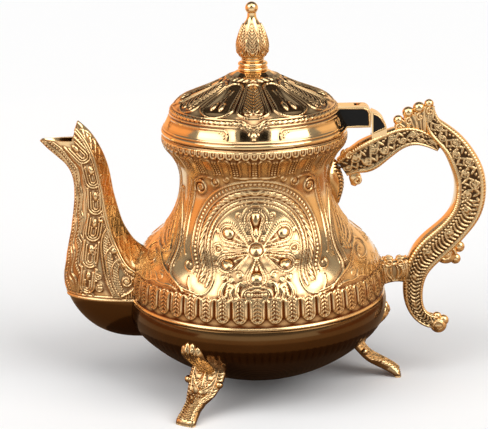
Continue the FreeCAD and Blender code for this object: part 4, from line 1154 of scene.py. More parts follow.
def clipped(grid, value, rows):
    """Columns of a grid cut to where a value is positive, with the row each new point came from."""
    used = []
    places = []
    for column in range(grid.shape[1]):
        inside = np.nonzero(value[:, column] > 0)[0]
        if len(inside) < 2:
            continue
        first, last = inside[0], inside[-1]
        start, end = float(first), float(last)
        if first > 0:
            a, b = value[first - 1, column], value[first, column]
            start = first - b / (b - a)
        if last < len(grid) - 1:
            a, b = value[last, column], value[last + 1, column]
            end = last + a / (a - b)
        at = np.linspace(start, end, rows)
        used.append(resampled(grid[:, column], np.arange(len(grid)), at))
        places.append(at)
    return np.stack(used, 1), np.stack(places, 1)


def outside_pot(grid):
    """Distance from the pot's wall, positive outside it."""
    return np.hypot(grid[..., 0], grid[..., 1]) - pot_radius(grid[..., 2])


def below_mouth(grid):
    """Positive under the beak's lip and behind the hood's edge."""
    x, z = grid[..., 0], grid[..., 2]
    edge = np.interp(z, (LIP_Z, HOOD_PEAK_Z), (HOOD_FOOT_X, HOOD_PEAK_X))
    return np.maximum(LIP_Z - z, x - edge)


# Chain of drops down the side of the spout and the shells at its foot, in x and z
DROPS = ((-97.0, 136.6), (-90.4, 129.6), (-87.2, 115.0), (-87.2, 100.4), (-90.0, 85.8), (-92.0, 71.2),
         (-94.2, 56.6))
SHELLS = (((-81.6, 93.0), (-84.5, 87.0), (-84.9, 79.6), (-84.0, 71.4), (-82.3, 63.4), (-79.2, 55.6)),
          ((-78.8, 82.6), (-82.0, 79.6), (-82.6, 73.0), (-81.4, 64.8), (-77.6, 55.8)),
          ((-72.2, 75.5), (-77.1, 74.4), (-79.6, 69.4), (-79.0, 62.4), (-75.6, 55.4)),
          ((-66.8, 70.4), (-65.7, 65.0), (-68.3, 59.2), (-74.2, 55.4)))
BERRIES = ((-79.6, 91.0, 1.5), (-77.7, 80.0, 2.1), (-72.4, 72.4, 2.0), (-69.0, 69.0, 1.7), (-84.6, 96.6, 1.2))
BUDS = ((-93.8, 140.6), (-85.0, 125.6), (-83.9, 111.0), (-84.6, 97.4), (-88.2, 80.6), (-87.2, 66.0))
DROP_R = 3.9
# Edge beads and the swaying wires along the front: places as shares of the way to the middle, half widths
BEAD_PITCH = 1.6
BEAD_ROWS = (0.72, 0.90)
SWAYING_WIRES = ((0.64, 0.42), (0.68, 0.32), (0.79, 0.42), (0.84, 0.32), (0.97, 0.5))
SWAY_LENGTH = 14.0
# Points along the spout, round its front and up one slope of its back, then rows of the finished pieces
SPOUT_STEPS, ROUND_STEPS, SLOPE_STEPS = 260, 241, 21
TROUGH_ROWS, KEEL_ROWS, GABLE_ROWS = 300, 60, 220


def fringe(sheet, path, length, turn, half, height):
    """Short ribs that lean off a path."""
    path = even(bent(path), 1.5)
    step = np.gradient(path, axis=0)
    for point, heading in zip(path[1:-1], np.arctan2(step[1:-1, 1], step[1:-1, 0])):
        end = point + length * np.array([math.cos(heading + turn), math.sin(heading + turn)])
        sheet.line((point, end), half, height)


def chase_drop(side, low, up):
    """Three nested loops round the lower end of a drop, its seed and the curved wire beside it."""
    out = np.array([up[1], -up[0]])
    for grow, thick, leg in ((DROP_R, 0.62, 10.4), (2.5, 0.52, 8.2), (1.2, 0.42, 3.4)):
        bottom = [low + DROP_R * up + grow * (math.cos(a) * out + math.sin(a) * up)
                  for a in np.linspace(-math.pi, 0, 15)]
        side.line([bottom[0] + leg * up] + bottom + [bottom[-1] + leg * up], thick, 0.95)
    side.dome(low + 9.6 * up, 1.3, 1.1, 2.6, math.atan2(up[1], up[0]))
    beside = [low + ahead * up - aside * out for ahead, aside in ((12.0, DROP_R), (6.0, 5.0), (-1.5, 4.6))]
    side.line(bent(beside), 0.4, 0.7)


def chase_trough(edge, side):
    """Wires and bead rows along the edges, a chain of nested drops and ribbed shells at the foot."""
    width = edge.x[:, -1:]
    share = edge.x / width
    sway = np.sin(TURN * edge.s / SWAY_LENGTH)
    field = side.s > SEAM_Z + 2.6
    bead = (edge.s / BEAD_PITCH % 1 - 0.5) * BEAD_PITCH
    edge.lay_all(wire(edge.x - 0.9, 0.9, 0.9))
    edge.lay_all(wire(np.hypot(edge.x - 2.9, bead), 0.62, 0.7))
    for place in BEAD_ROWS:
        edge.lay_all(wire(np.hypot((share - place - 0.02 * sway) * width, bead), 0.6, 0.8) * field)
    for place, half in SWAYING_WIRES:
        edge.lay_all(wire(np.abs(share - place - 0.025 * sway) * width, half, 0.7) * field)
    chain = np.array(DROPS)
    for low, high in zip(chain[1:], chain):
        chase_drop(side, low, (high - low) / np.linalg.norm(high - low))
    for x, z in BUDS:
        side.ring((x, z), 1.35, 0.4, 0.8)
        side.dome((x, z), 0.6, 0.8)
        side.dome((x - 1.4, z - 2.4), 0.7, 0.8)
        side.dome((x + 0.4, z + 2.6), 0.6, 0.7)
    for path in SHELLS:
        inner = [(x + 1.2, z + 0.2) for x, z in path]
        side.lay_lines(((path, 0.62, 1.1), (inner, 0.34, 0.7)))
        fringe(side, inner, 2.6, 1.05, 0.4, 0.85)
    for x, z, r in BERRIES:
        side.dome((x, z), r, 1.5)
    side.volute((-86.6, 59.4), 2.3, 1.5, 1.2, 1, 0.5, 0.9)
    side.volute((-71.6, 63.6), 3.2, 1.7, 0.4, -1, 0.52, 0.9)
    side.line(((-112.0, SEAM_Z + 2.7), (-60.0, SEAM_Z + 2.7)), 0.4, 0.5)
    side.lay_all(wire(side.s - SEAM_Z - 0.9, 0.9, 0.9))


def chase_gable(sheet):
    """Wire along the edge, three winding vines and a row of small scrolls."""
    sheet.s = sheet.s - sheet.s.min()
    wide = sheet.x[:, -1:]
    share = sheet.x / wide
    sheet.lay_all(wire(sheet.x - 0.9, 0.9, 0.55))
    for phase in (0.0, 0.3, 0.6):
        vine = np.abs(share - 0.55 - 0.3 * np.sin(TURN * (sheet.s / 17.0 + phase))) * wide
        sheet.lay_all(wire(vine, 0.4, 0.3))
    for k in range(14):
        low = 4.0 + 7.5 * k
        row = int(np.argmin(np.abs(sheet.s[:, 0] - low)))
        place, hand = (0.72, 1) if k % 2 else (0.32, -1)
        sheet.volute((place * float(wide[row, 0]), low), 1.9, 1.3, 0.5 * k, hand, 0.36, 0.36)


class POT_OT_spout(bpy.types.Operator):
    """Chased trough, engraved gable and plain keel of the spout"""
    bl_idname = "pot.spout"
    bl_label = "Spout"

    def execute(self, context):
        gold = finishes(context.scene)
        depth = context.scene.pot_chasing.depth
        rounds = []
        gables = []
        side = np.linspace(0, 1, SLOPE_STEPS)[:, None]
        for row in natural_spline(SPOUT_SECTIONS, SPOUT_STEPS):
            crest, points = spout_frame(row)
            rounds.append(natural_spline(points, ROUND_STEPS))
            near = points[0] * (1 - side) + crest * side
            gables.append(np.concatenate([near, (near * (1, -1, 1))[-2::-1]]))
        rounds = np.array(rounds)
        self.trough(rounds, gold["gilded_pressed_brass"], depth)
        # painted reflection: the spout's underside takes the bowl's darkened bronze
        self.keel(rounds, gold["lacquered_bronze"])
        self.gable(np.array(gables), gold["gilded_pressed_brass"], depth)
        return {"FINISHED"}

    def outward(self, grid):
        """Normals of a part of the round front, away from its middle."""
        normal = grid_normals(grid)
        return normal * np.sign((normal * (grid - grid.mean(1, keepdims=True))).sum(-1).mean())

    def plate(self, name, node, finish, grid, normal, lift, painted_shade):
        """Chased sheet of the spout, from the drawing of its near half."""
        metal = Metal()
        metal.slab(grid + normal * mirrored(lift)[..., None], grid - normal * SPOUT_WALL, mirrored(painted_shade))
        metal.make(name, finish, "pot", "embossed_gold", node)

    def trough(self, rounds, finish, depth):
        inside = np.minimum.reduce([outside_pot(rounds), rounds[..., 2] - SEAM_Z, below_mouth(rounds)])
        grid, place = clipped(rounds, inside, TROUGH_ROWS)
        sheet = half_sheet(grid, place, rounds[:, rounds.shape[1] // 4])
        half = sheet.x.shape[1]
        side = Chasing(grid[:, :half, 0], grid[:, :half, 2])
        side.h = sheet.h
        chase_trough(sheet, side)
        # painted shade in the hollows of the trough's chasing
        painted_shade = hollows(sheet.h) * 0.8
        self.plate("spout_front", "spout_trough", finish, grid, self.outward(grid), sheet.h * depth, painted_shade)

    def keel(self, rounds, finish):
        inside = np.minimum(outside_pot(rounds), SEAM_Z - rounds[..., 2])
        grid, _ = clipped(rounds, inside, KEEL_ROWS)
        metal = Metal()
        metal.slab(grid, grid - self.outward(grid) * SPOUT_WALL)
        metal.make("spout_underside", finish, "pot", "polished_gold", "spout_keel")

    def gable(self, gables, finish, depth):
        inside = np.minimum(outside_pot(gables), below_mouth(gables))
        grid, place = clipped(gables, inside, GABLE_ROWS)
        sheet = half_sheet(grid, place, gables[:, grid.shape[1] // 2])
        chase_gable(sheet)
        normal = grid_normals(grid)
        if normal[..., 0].mean() < 0:
            normal = -normal
        # painted shade in the hollows of the gable's chasing
        painted_shade = hollows(sheet.h) * 0.6
        self.plate("spout_back", "spout_gable", finish, grid, normal, sheet.h * depth, painted_shade)


# Handle

# Stations of the two bars: x, z and width
ARM = ((47.6, 121.6, 11.0), (54.0, 125.2, 14.5), (60.0, 127.6, 17.6), (66.0, 131.0, 17.0),
       (72.5, 134.6, 14.6), (79.0, 137.6, 12.6), (86.8, 138.4, 10.4), (93.6, 136.1, 7.8), (100.8, 131.6, 5.0))
GRIP = ((95.6, 153.4, 4.6), (95.9, 149.4, 6.6), (97.6, 144.2, 9.6), (102.0, 139.4, 11.8),
        (107.8, 133.6, 13.4), (113.2, 125.2, 15.6), (117.0, 115.6, 17.0), (117.7, 106.0, 17.4),
        (115.5, 95.9, 17.0), (110.5, 88.1, 16.2), (103.1, 80.4, 17.0), (95.6, 73.5, 17.0), (89.6, 64.8, 14.6),
        (87.1, 55.2, 11.8), (87.0, 45.6, 10.5), (88.6, 39.5, 9.2), (91.5, 35.0, 8.2), (95.5, 32.3, 8.0),
        (100.0, 31.2, 8.0))
BRACKET = ((68.6, 61.4, 15.0), (73.0, 61.6, 13.0), (77.0, 61.8, 12.2), (80.6, 62.2, 13.6), (84.0, 62.6, 15.2))
LEAF_STUBS = (((49.6, 131.0, 3.0), (49.2, 128.4, 5.6), (52.0, 126.0, 6.4)),
              ((54.0, 119.6, 5.0), (54.6, 115.4, 6.6), (53.6, 111.2, 2.6)))
# Balls: x, z and radius
CROWN_BALLS = ((78.3, 147.2, 2.8), (83.7, 151.3, 3.3), (89.5, 153.7, 3.4), (94.9, 155.9, 2.6))
HEEL_BALLS = ((104.8, 71.7, 6.4), (112.1, 74.9, 3.2), (110.2, 68.0, 3.0))
KNOB_BALLS = ((101.2, 29.4, 4.7), (96.8, 34.2, 2.3), (100.3, 34.3, 2.6), (103.9, 32.0, 3.1))
CROWN_FOOT = (93.0, 139.5)
# Scrolls on both sides: centre, radius, turns, start, hand, distance from the middle plane, half the wire
HANDLE_SCROLLS = ((KNOB_BALLS[0][:2], 3.4, 1.3, math.pi, -1, 3.4, 0.9),
                  (HEEL_BALLS[0][:2], 5.2, 1.6, 0.0, 1, 4.4, 0.9),
                  ((51.4, 128.8), 3.0, 1.3, -1.2, 1, 4.2, 0.9), ((55.6, 114.6), 2.6, 1.2, 1.6, -1, 3.2, 0.8))
# Half the width that the drawings on a bar have, whatever the bar's own width, and of the sunk panel in it
PANEL = 8.0
SUNK_PANEL = 5.8
DEPTH_SHARE = 0.78
CORNER = 0.6
WIRE_COLUMNS = 12
# Leaf on the neck: lower and upper edge, half width and how far it stands out
LEAF_LOW, LEAF_HIGH, LEAF_HALF, LEAF_BULGE = 101.0, 127.5, 9.0, 6.2
LEAF_ROWS, LEAF_COLUMNS = 90, 61
# Ribs of the bracket: distances from its middle at the top, the waist and the foot, half width
BRACKET_MIDDLE = 7.6
BRACKET_RIBS = ((6.4, 6.8, 4.8, 0.8), (3.4, 4.4, 0.8, 0.85), (1.2, 2.0, 0.2, 0.6), (5.2, 5.6, 3.2, 0.45))


def squared_ring(columns, corner, depth):
    """Evenly spaced points round a superellipse one wide and depth deep, as shares of its halves."""
    a = np.linspace(0, TURN, 4001)
    c, s = np.cos(a), np.sin(a)
    loop = np.c_[np.sign(c) * np.abs(c) ** corner, np.sign(s) * np.abs(s) ** corner]
    run = lengths_along(loop * (1, depth))
    at = np.linspace(0, run[-1], columns, endpoint=False)
    return np.interp(at, run, loop[:, 0]), np.interp(at, run, loop[:, 1])


def rings_along(path, across, p, q):
    """Rings round a path of x and z, where p goes across the path and q out of its plane."""
    x = path[:, :1] + across[:, :1] * p
    z = path[:, 1:2] + across[:, 1:] * p
    return np.stack([x, np.broadcast_to(q, x.shape), z], -1)


def swept(metal, stations, chase, columns=132, step=0.45, ground=-0.9):
    """Bar along stations of x, z and width in the plane of symmetry, with chased sides."""
    line = even(natural_spline(stations, 60 * len(stations)), step)
    run = lengths_along(line[:, :2])
    flat, deep = squared_ring(columns, CORNER, DEPTH_SHARE)
    half = line[:, 2:] / 2
    p = half * flat
    q = half * DEPTH_SHARE * deep
    dp = np.roll(p, -1, 1) - np.roll(p, 1, 1)
    dq = np.roll(q, -1, 1) - np.roll(q, 1, 1)
    size = np.maximum(np.hypot(dp, dq), 1e-9)
    sheet = Chasing(np.repeat((flat * PANEL)[None], len(line), 0), np.repeat(run[:, None], columns, 1))
    chase(sheet, run[-1])
    panel = np.clip((SUNK_PANEL - np.abs(sheet.x)) / 0.4, 0, 1)
    side = np.clip((np.abs(deep) - 0.55) / 0.2, 0, 1)
    lift = (sheet.h + ground * panel) * side * np.clip(half / 6.0, 0.3, 1)
    # painted shade: the sunk panel's ground is darkened, its raised work less
    painted_shade = np.clip(1.1 - sheet.h / 0.3, 0.22, 1) * panel * side * min(1.0, -ground * 1.06)
    metal.tube(rings_along(line, sideways(line[:, :2]), p + dq / size * lift, q - dp / size * lift), painted_shade)


def chase_rims(sheet, length):
    """Milled wires along both edges of a panel."""
    for edge in (-6.5, 6.5):
        sheet.stripe(edge, length, 0.9, 0.55, 1.5, 0.0)
    for edge in (-5.5, 5.5):
        sheet.stripe(edge, length, 0.45, 0.4)


def chase_vine(sheet, low, hand, size, height):
    """One turn of a running scroll with its leaf and berries."""
    sheet.volute((hand * 1.7, low), size, 1.5, 0.8 * hand, hand, 0.5, height)
    stem = ((hand * 4.6, low), (0.0, low + size * 1.1), (-hand * 4.4, low + size * 2.0))
    sheet.line(bent(stem), 0.5, height)
    sheet.leaf((hand * 1.0, low + size * 0.8), (hand * 4.6, low + size * 1.7), 0.85, height)
    sheet.leaf((-hand * 1.2, low + size * 0.2), (-hand * 4.6, low - size * 0.5), 0.75, height)
    for across, along, radius in ((-3.4, 0.55, 0.75), (-4.3, 1.1, 0.6), (-2.2, 1.75, 0.55), (4.6, 0.5, 0.55)):
        sheet.dome((hand * across, low + size * along), radius, height)


def chase_arm(sheet, length):
    """Running scroll with leaves and beads."""
    chase_rims(sheet, length)
    for k in range(int(length / 5.6)):
        chase_vine(sheet, 3.0 + 5.6 * k, 1 if k % 2 else -1, 2.7, 0.5)


def chase_grip(sheet, length):
    """Scroll at the top, then rows of curved ribs with pearls down to the tail."""
    chase_rims(sheet, length)
    scroll = min(56.0, length)
    for k in range(int(scroll / 6.2)):
        chase_vine(sheet, 5.0 + 6.2 * k, 1 if k % 2 else -1, 3.0, 0.65)
    for k in range(int((length - scroll) / 2.3)):
        low = scroll + 2.3 * k
        if k % 7 == 3:
            sheet.dome((-0.6, low + 1.0), 1.6, 1.0)
            sheet.ring((-0.6, low + 1.0), 2.3, 0.36, 0.6)
        sheet.line(bent(((-2.4, low), (0.6, low + 1.9), (4.4, low + 1.0))), 0.62, 0.8)
        sheet.dome((-3.7, low + 1.0), 0.75, 0.9)
        sheet.dome((-4.9, low), 0.5, 0.6)


def volute_pair(metal, centre, outer, turns, start, hand, side, thick):
    """Rolled wire scroll that stands on either side of a casting."""
    path = spiral(centre, outer, outer * 0.2, turns, start, hand, 0.5)
    a = full_turn(WIRE_COLUMNS)
    slim = thick * np.linspace(1.0, 0.75, len(path))[:, None]
    for face in (-side, side):
        metal.tube(rings_along(path, sideways(path), slim * np.cos(a), face + slim * np.sin(a)))


def plain_sides(sheet, length):
    """One low swelling along the middle."""
    sheet.stripe(0.0, length, 2.5, 0.35)


def lobe_sides(sheet, length):
    """Three ribs along a lobe of the crown."""
    for edge in (-6.0, 0.0, 6.0):
        sheet.stripe(edge, length, 1.2, 0.7)


def bracket_sides(sheet, length):
    """Ribs that spread from the bracket's foot to its top, either side of its middle."""
    for hand in (-1, 1):
        for top, waist, foot, half in BRACKET_RIBS:
            rib = [(x, BRACKET_MIDDLE + hand * off) for x, off in ((5.6, top), (1.5, waist), (-6.0, foot))]
            sheet.line(bent(rib), half, 0.75)


class POT_OT_handle(bpy.types.Operator):
    """Cast handle of two scrolls with its crown, heel and tail, and the two roots on the pot"""
    bl_idname = "pot.handle"
    bl_label = "Cast handle"

    def execute(self, context):
        cast = finishes(context.scene)["gilded_cast_brass"]
        metal = Metal()
        swept(metal, ARM, chase_arm)
        swept(metal, GRIP, chase_grip)
        for x, z, r in CROWN_BALLS:
            self.crown_lobe(metal, x, z, r)
        for balls, squash in ((HEEL_BALLS, 0.8), (KNOB_BALLS, 0.9)):
            for x, z, r in balls:
                metal.ball((x, 0.0, z), r, 20, squash)
        for scroll in HANDLE_SCROLLS:
            volute_pair(metal, *scroll)
        for stub in LEAF_STUBS:
            swept(metal, stub, plain_sides, 28, 0.6, 0.0)
        metal.make("handle_cast", cast, "pot", "cast_gold", "handle")
        self.leaf_root(cast)
        self.bracket(cast)
        return {"FINISHED"}

    def crown_lobe(self, metal, x, z, r):
        """Ball of the crown on a ribbed lobe that grows out of the grip, with a scroll on either side."""
        metal.ball((x, 0.0, z), r)
        foot_x = x + 0.45 * (CROWN_FOOT[0] - x)
        foot_z = CROWN_FOOT[1]
        middle = ((x + foot_x) / 2, (z + foot_z) / 2, 6.6)
        swept(metal, ((foot_x, foot_z, 4.4), middle, (x, z - r * 0.5, 6.2)), lobe_sides, 60, 0.4, -0.7)
        volute_pair(metal, (x + 0.4, z - r - 1.2), 2.3, 1.3, math.pi / 2, 1, 2.5, 0.6)

    def leaf_root(self, cast):
        """Leaf on the neck with a row of veins on either side of its spine."""
        z = np.linspace(LEAF_LOW, LEAF_HIGH, LEAF_ROWS)[:, None]
        share = (z - LEAF_LOW) / (LEAF_HIGH - LEAF_LOW)
        wide = LEAF_HALF * np.clip(np.sin(np.pi * np.clip(share * 0.62 + 0.02, 0, 1)), 0.05, 1) ** 0.9
        wide = wide * np.sqrt(np.clip((1.02 - share) / 0.3, 0.02, 1))
        v = np.linspace(-1, 1, LEAF_COLUMNS)
        y = wide * v
        z = np.repeat(z, LEAF_COLUMNS, 1)
        wall = np.sqrt(np.clip(pot_radius(z) ** 2 - y ** 2, 1, None))
        bulge = LEAF_BULGE * np.sin(np.pi * np.clip(share, 0.02, 0.98)) * np.sqrt(np.clip(1 - v ** 2, 0, 1))
        sheet = Chasing(y, z - LEAF_LOW)
        sheet.line(((0.0, 1.0), (0.0, 24.0)), 0.8, 0.8)
        for k in range(11):
            low = 2.0 + 2.1 * k
            for hand in (-1, 1):
                sheet.line(((hand * 0.8, low), (hand * (2.4 + 0.45 * k), low + 2.2)), 0.75, 0.8)
        fade = np.clip((1 - np.abs(v)) * 6, 0, 1)
        front = np.stack([wall + bulge + sheet.h * fade + 0.25, y, z], -1)
        metal = Metal()
        # painted shade in the hollows of the leaf's veins
        metal.slab(front, np.stack([wall - 0.4, y, z], -1), hollows(sheet.h, 3) * fade)
        metal.make("handle_leaf", cast, "pot", "cast_gold", "handle_upper_root")

    def bracket(self, cast):
        """Stub between the pot and the handle with a pair of scrolls on each side."""
        metal = Metal()
        swept(metal, BRACKET, bracket_sides, 96, 0.3, -0.55)
        for x, hand in ((73.0, 1), (79.6, -1)):
            swept(metal, ((x - 0.2, 66.0, 4.6), (x, 68.6, 5.4), (x, 69.8, 4.6)), plain_sides, 28, 0.5, 0.0)
            volute_pair(metal, (x, 67.6), 2.7, 1.4, math.pi / 2 + hand * 1.2, hand, 4.6, 0.75)
        metal.make("handle_bracket", cast, "pot", "cast_gold", "handle_lower_root")


# Feet

FOOT_ROWS, FOOT_COLUMNS = 150, 120
FOOT_DEPTH_SHARE = 0.5
FOOT_SINK = 0.6
FOOT_RELIEF = 0.9
# How much shade is painted into the hollows of a foot
FOOT_SHADE = 0.6
TOE_PLAIN_Z = 3.0
HIP_INSET = 23.6
HIP_BALL_R = 2.1
# Each foot's piece, the CAD node it replaces and its turn in degrees from the handle
FEET = (("foot_side", "foot_handle_side", 0), ("foot_rear", "foot_back", 120),
        ("foot_fore", "foot_front", 240))
# Leaf above a foot: lower and upper edge, half width, and how far it stands off the bowl from foot to tip
KNEE_LOW, KNEE_HIGH, KNEE_HALF = 17.0, 44.0, 7.4
KNEE_WIDTHS = ((0.0, 0.35, 0.75, 1.0), (0.95, 0.72, 1.0, 0.92))
KNEE_BULGE = ((0.0, 0.4, 0.8, 1.0), (4.4, 2.4, 3.2, 2.6))
KNEE_ROWS, KNEE_COLUMNS = 80, 81


def chase_foot(sheet, length):
    """Scrolls below the hip, two leaves on the shin and chevrons down to the toe, between toothed edges."""
    for hand in (-1, 1):
        for k in range(int(length / 2.0)):
            sheet.dome((hand * 7.1, 1.0 + 2.0 * k), 1.0, 1.3)
        sheet.stripe(hand * 5.7, length, 0.4, 0.9)
        for share, size in ((0.4, 2.1), (0.52, 2.2), (0.66, 1.7)):
            sheet.volute((hand * 3.1, length * share), size, 1.4, math.pi / 2, hand, 0.42, 1.0)
        for share, drop_by in ((0.46, 0.14), (0.57, 0.15), (0.62, 0.14), (0.7, 0.08)):
            edge = (hand * 4.9, length * share)
            waist = (hand * 3.4, length * (share + drop_by * 0.55))
            sheet.line(bent((edge, waist, (0.0, length * (share + drop_by)))), 0.42, 1.0)
        for k in range(9):
            low = length * 0.77 + 1.5 * k
            sheet.line(((0.0, low), (hand * 5.0, low - 1.8)), 0.4, 1.0)
            sheet.dome((hand * 3.0, low + 0.2), 0.45, 0.7)
    sheet.leaf((0.0, length * 0.42), (0.0, length * 0.56), 1.5, 1.1, 0.0, 4)
    sheet.leaf((0.0, length * 0.57), (0.0, length * 0.7), 1.3, 1.1, 0.0, 3)


def knee_cap():
    """Front, back and painted shade in the hollows of the four-lobed leaf that lies on the bowl above a foot,
    for the +X side.
    """
    share = np.linspace(0, 1, KNEE_ROWS)[:, None]
    v = np.linspace(-1, 1, KNEE_COLUMNS)
    lobes = np.sqrt(np.abs(np.sin(TURN * (v + 1))))
    top = KNEE_HIGH - 5.0 * v ** 2 - 2.4 * (1 - lobes)
    z = KNEE_LOW + share * (top - KNEE_LOW)
    y = KNEE_HALF * np.interp(share, *KNEE_WIDTHS) * v
    wall = np.sqrt(pot_radius(z) ** 2 - y ** 2)
    rim = np.sqrt(np.clip((1 - share) / 0.16, 0, 1)) * np.sqrt(np.clip(1 - v ** 2, 0, 1))
    sheet = Chasing(y, z - KNEE_LOW)
    for at in (-0.5, 0.0, 0.5):
        sheet.line(((at * 3.0, 8.0), (at * KNEE_HALF, 24.0)), 0.4, 0.6)
    for at in (-0.75, -0.25, 0.25, 0.75):
        tip = (at * KNEE_HALF * 0.98, 22.6 - 3.4 * at ** 2)
        sheet.dome(tip, 1.1, 0.7, 2.2, math.pi / 2 - at * 0.4)
        for k in range(5):
            sheet.dome((at * (3.0 + k), 8.0 + 2.3 * k), 0.5, 0.5)
    for hand in (-1, 1):
        sheet.volute((hand * 2.6, 5.4), 2.0, 1.3, math.pi / 2, hand, 0.42, 0.6)
    stand = np.interp(share, *KNEE_BULGE) + sheet.h
    front = np.stack([wall + 0.15 + stand * rim, y, z], -1)
    # painted shade in the hollows of the leaf
    return front, np.stack([wall - 0.3, y, z], -1), hollows(sheet.h, 3) * rim


class POT_OT_feet(bpy.types.Operator):
    """Three cast feet, each with the leaf above it"""
    bl_idname = "pot.feet"
    bl_label = "Feet"

    def execute(self, context):
        cast = finishes(context.scene)["gilded_cast_brass"]
        rings, painted_shade, knobs = self.leg()
        front, back, shade = knee_cap()
        for name, node, turn in FEET:
            metal = Metal()
            metal.tube(turned_about(rings, turn), painted_shade)
            metal.slab(turned_about(front, turn), turned_about(back, turn), shade)
            for knob in knobs:
                metal.ball(turned_about(knob, turn), HIP_BALL_R)
            metal.make(name, cast, "pot", "cast_gold", node)
        return {"FINISHED"}

    def leg(self):
        """Rings and painted shade of the foot on the handle's side, and the balls at its hip."""
        share = np.linspace(0, 1, FOOT_ROWS)
        top = even(natural_spline([(TOE_R - inset, rise) for inset, rise in FOOT_TOP], 300), 0.3)
        top = resampled(top, np.linspace(0, 1, len(top)), share)
        under = natural_spline([(TOE_R - inset, rise) for inset, rise in reversed(FOOT_UNDER)], 300)
        run = lengths_along(under)
        under = resampled(under, run / run[-1], share)
        inset = TOE_R - (top[:, 0] + under[:, 0]) / 2
        half = np.interp(inset, *np.transpose(FOOT_WIDTHS))[:, None]
        wide, deep = squared_ring(FOOT_COLUMNS, CORNER, FOOT_DEPTH_SHARE)
        middle = (top + under) / 2
        rise = (top - under) / 2
        along = lengths_along(middle)
        across = np.repeat((wide * PANEL)[None], FOOT_ROWS, 0)
        sheet = Chasing(across, np.repeat(along[:, None], FOOT_COLUMNS, 1))
        chase_foot(sheet, along[-1])
        side = np.clip((deep - 0.5) / 0.3, 0, 1)
        tall = np.linalg.norm(rise, axis=1)[:, None]
        grow = deep * (1 + sheet.h * side * FOOT_RELIEF / np.maximum(tall, 0.6))
        grow = np.where(middle[:, 1:] < TOE_PLAIN_Z, deep, grow)
        rings = rings_along(middle, rise, grow, half * wide)
        rings[..., 2] = np.maximum(rings[..., 2], 0.0)
        rings, place = clipped(rings, outside_pot(rings) + FOOT_SINK, FOOT_ROWS)
        # painted shade in the hollows on the sides of the foot
        flat = hollows(sheet.h, 3) * side * FOOT_SHADE
        rows = np.arange(FOOT_ROWS)
        painted_shade = np.stack([np.interp(place[:, k], rows, flat[:, k]) for k in range(FOOT_COLUMNS)], 1)
        hip = int(np.argmin(np.abs(inset - HIP_INSET)))
        aside = float(half[hip, 0]) - 0.6
        knobs = [np.array((top[hip, 0], hand * aside, top[hip, 1] - 0.8)) for hand in (-1, 1)]
        return rings, painted_shade, knobs


# Hinge and fixings

HINGE_HALF = 5.0
HINGE_WIRE_R = 0.6
# Sides of the lid's arm and of the post, in x and z
ARM_PANEL = ((44.2, 155.2), (58.9, 155.2), (61.2, 154.3), (62.4, 152.2), (62.4, 145.2), (49.4, 145.2))
POST_PANEL = ((64.4, 152.0), (66.6, 151.2), (68.6, 149.4), (70.4, 146.2), (71.0, 144.2), (64.4, 141.4))


class POT_OT_hinge(bpy.types.Operator):
    """Gold frames with black enamel on both sides of the lid's arm and of the post"""
    bl_idname = "pot.hinge"
    bl_label = "Hinge panels"

    def execute(self, context):
        looks = finishes(context.scene)
        for name, outline, body in (("hinge_arm", ARM_PANEL, "lid"), ("hinge_post", POST_PANEL, "pot")):
            frames = Metal()
            panels = Metal()
            for side in (-1, 1):
                self.inlay(frames, panels, np.array(outline), side)
            frames.make(name + "_frames", looks["gilded_buffed_brass"], body, "polished_gold")
            panels.make(name + "_enamel", looks["black_enamel"], body, "polished_gold")
        return {"FINISHED"}

    def inlay(self, frames, panels, outline, side):
        """Enamel plate on one side face, with a wire along its edge that is open towards the lid."""
        middle = outline.mean(0)
        a = full_turn(WIRE_COLUMNS)
        bars = even(outline, 0.4)
        inward = middle - bars
        inward /= np.linalg.norm(inward, axis=1)[:, None]
        q = side * (HINGE_HALF + 0.1 + HINGE_WIRE_R * np.sin(a))
        frames.tube(rings_along(bars, inward, HINGE_WIRE_R * np.cos(a), q))
        path = even(np.concatenate([outline, outline[:1]]), 0.4)[:-1]
        face = middle + (path - middle) * np.linspace(0.02, 1, 8)[:, None, None]
        flat = np.stack([face[..., 0], np.zeros(face.shape[:2]), face[..., 1]], -1)
        front = flat + (0, side * (HINGE_HALF + 0.18), 0)
        back = flat + (0, side * (HINGE_HALF - 0.3), 0)
        panels.tube(np.concatenate([front, back[::-1]]))


KEPT_NODES = {
    "gilded_buffed_brass": ("hinge_post", "lid_hinge_arm"),
    "spun_brass": ("spout_strainer", "lid_skirt", "handle_washers", "foot_washers", "finial_washer"),
    "turned_steel": ("hinge_pin", "lid_arm_rivets", "foot_screws", "handle_upper_screw", "handle_lower_screw",
                     "finial_stud", "finial_nut"),
}


class POT_OT_fixings(bpy.types.Operator):
    """Finishes for the hinge, the strainer and every screw, washer and rivet of the frame"""
    bl_idname = "pot.fixings"
    bl_label = "Fixings"

    def execute(self, context):
        looks = finishes(context.scene)
        for name, nodes in KEPT_NODES.items():
            for node in nodes:
                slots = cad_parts[node].data.materials
                slots.clear()
                slots.append(looks[name])
        return {"FINISHED"}


PIECES = (POT_OT_shell, POT_OT_bowl, POT_OT_lid, POT_OT_spout, POT_OT_handle, POT_OT_feet, POT_OT_hinge,
          POT_OT_fixings)


ON_FLOOR = 0.0008
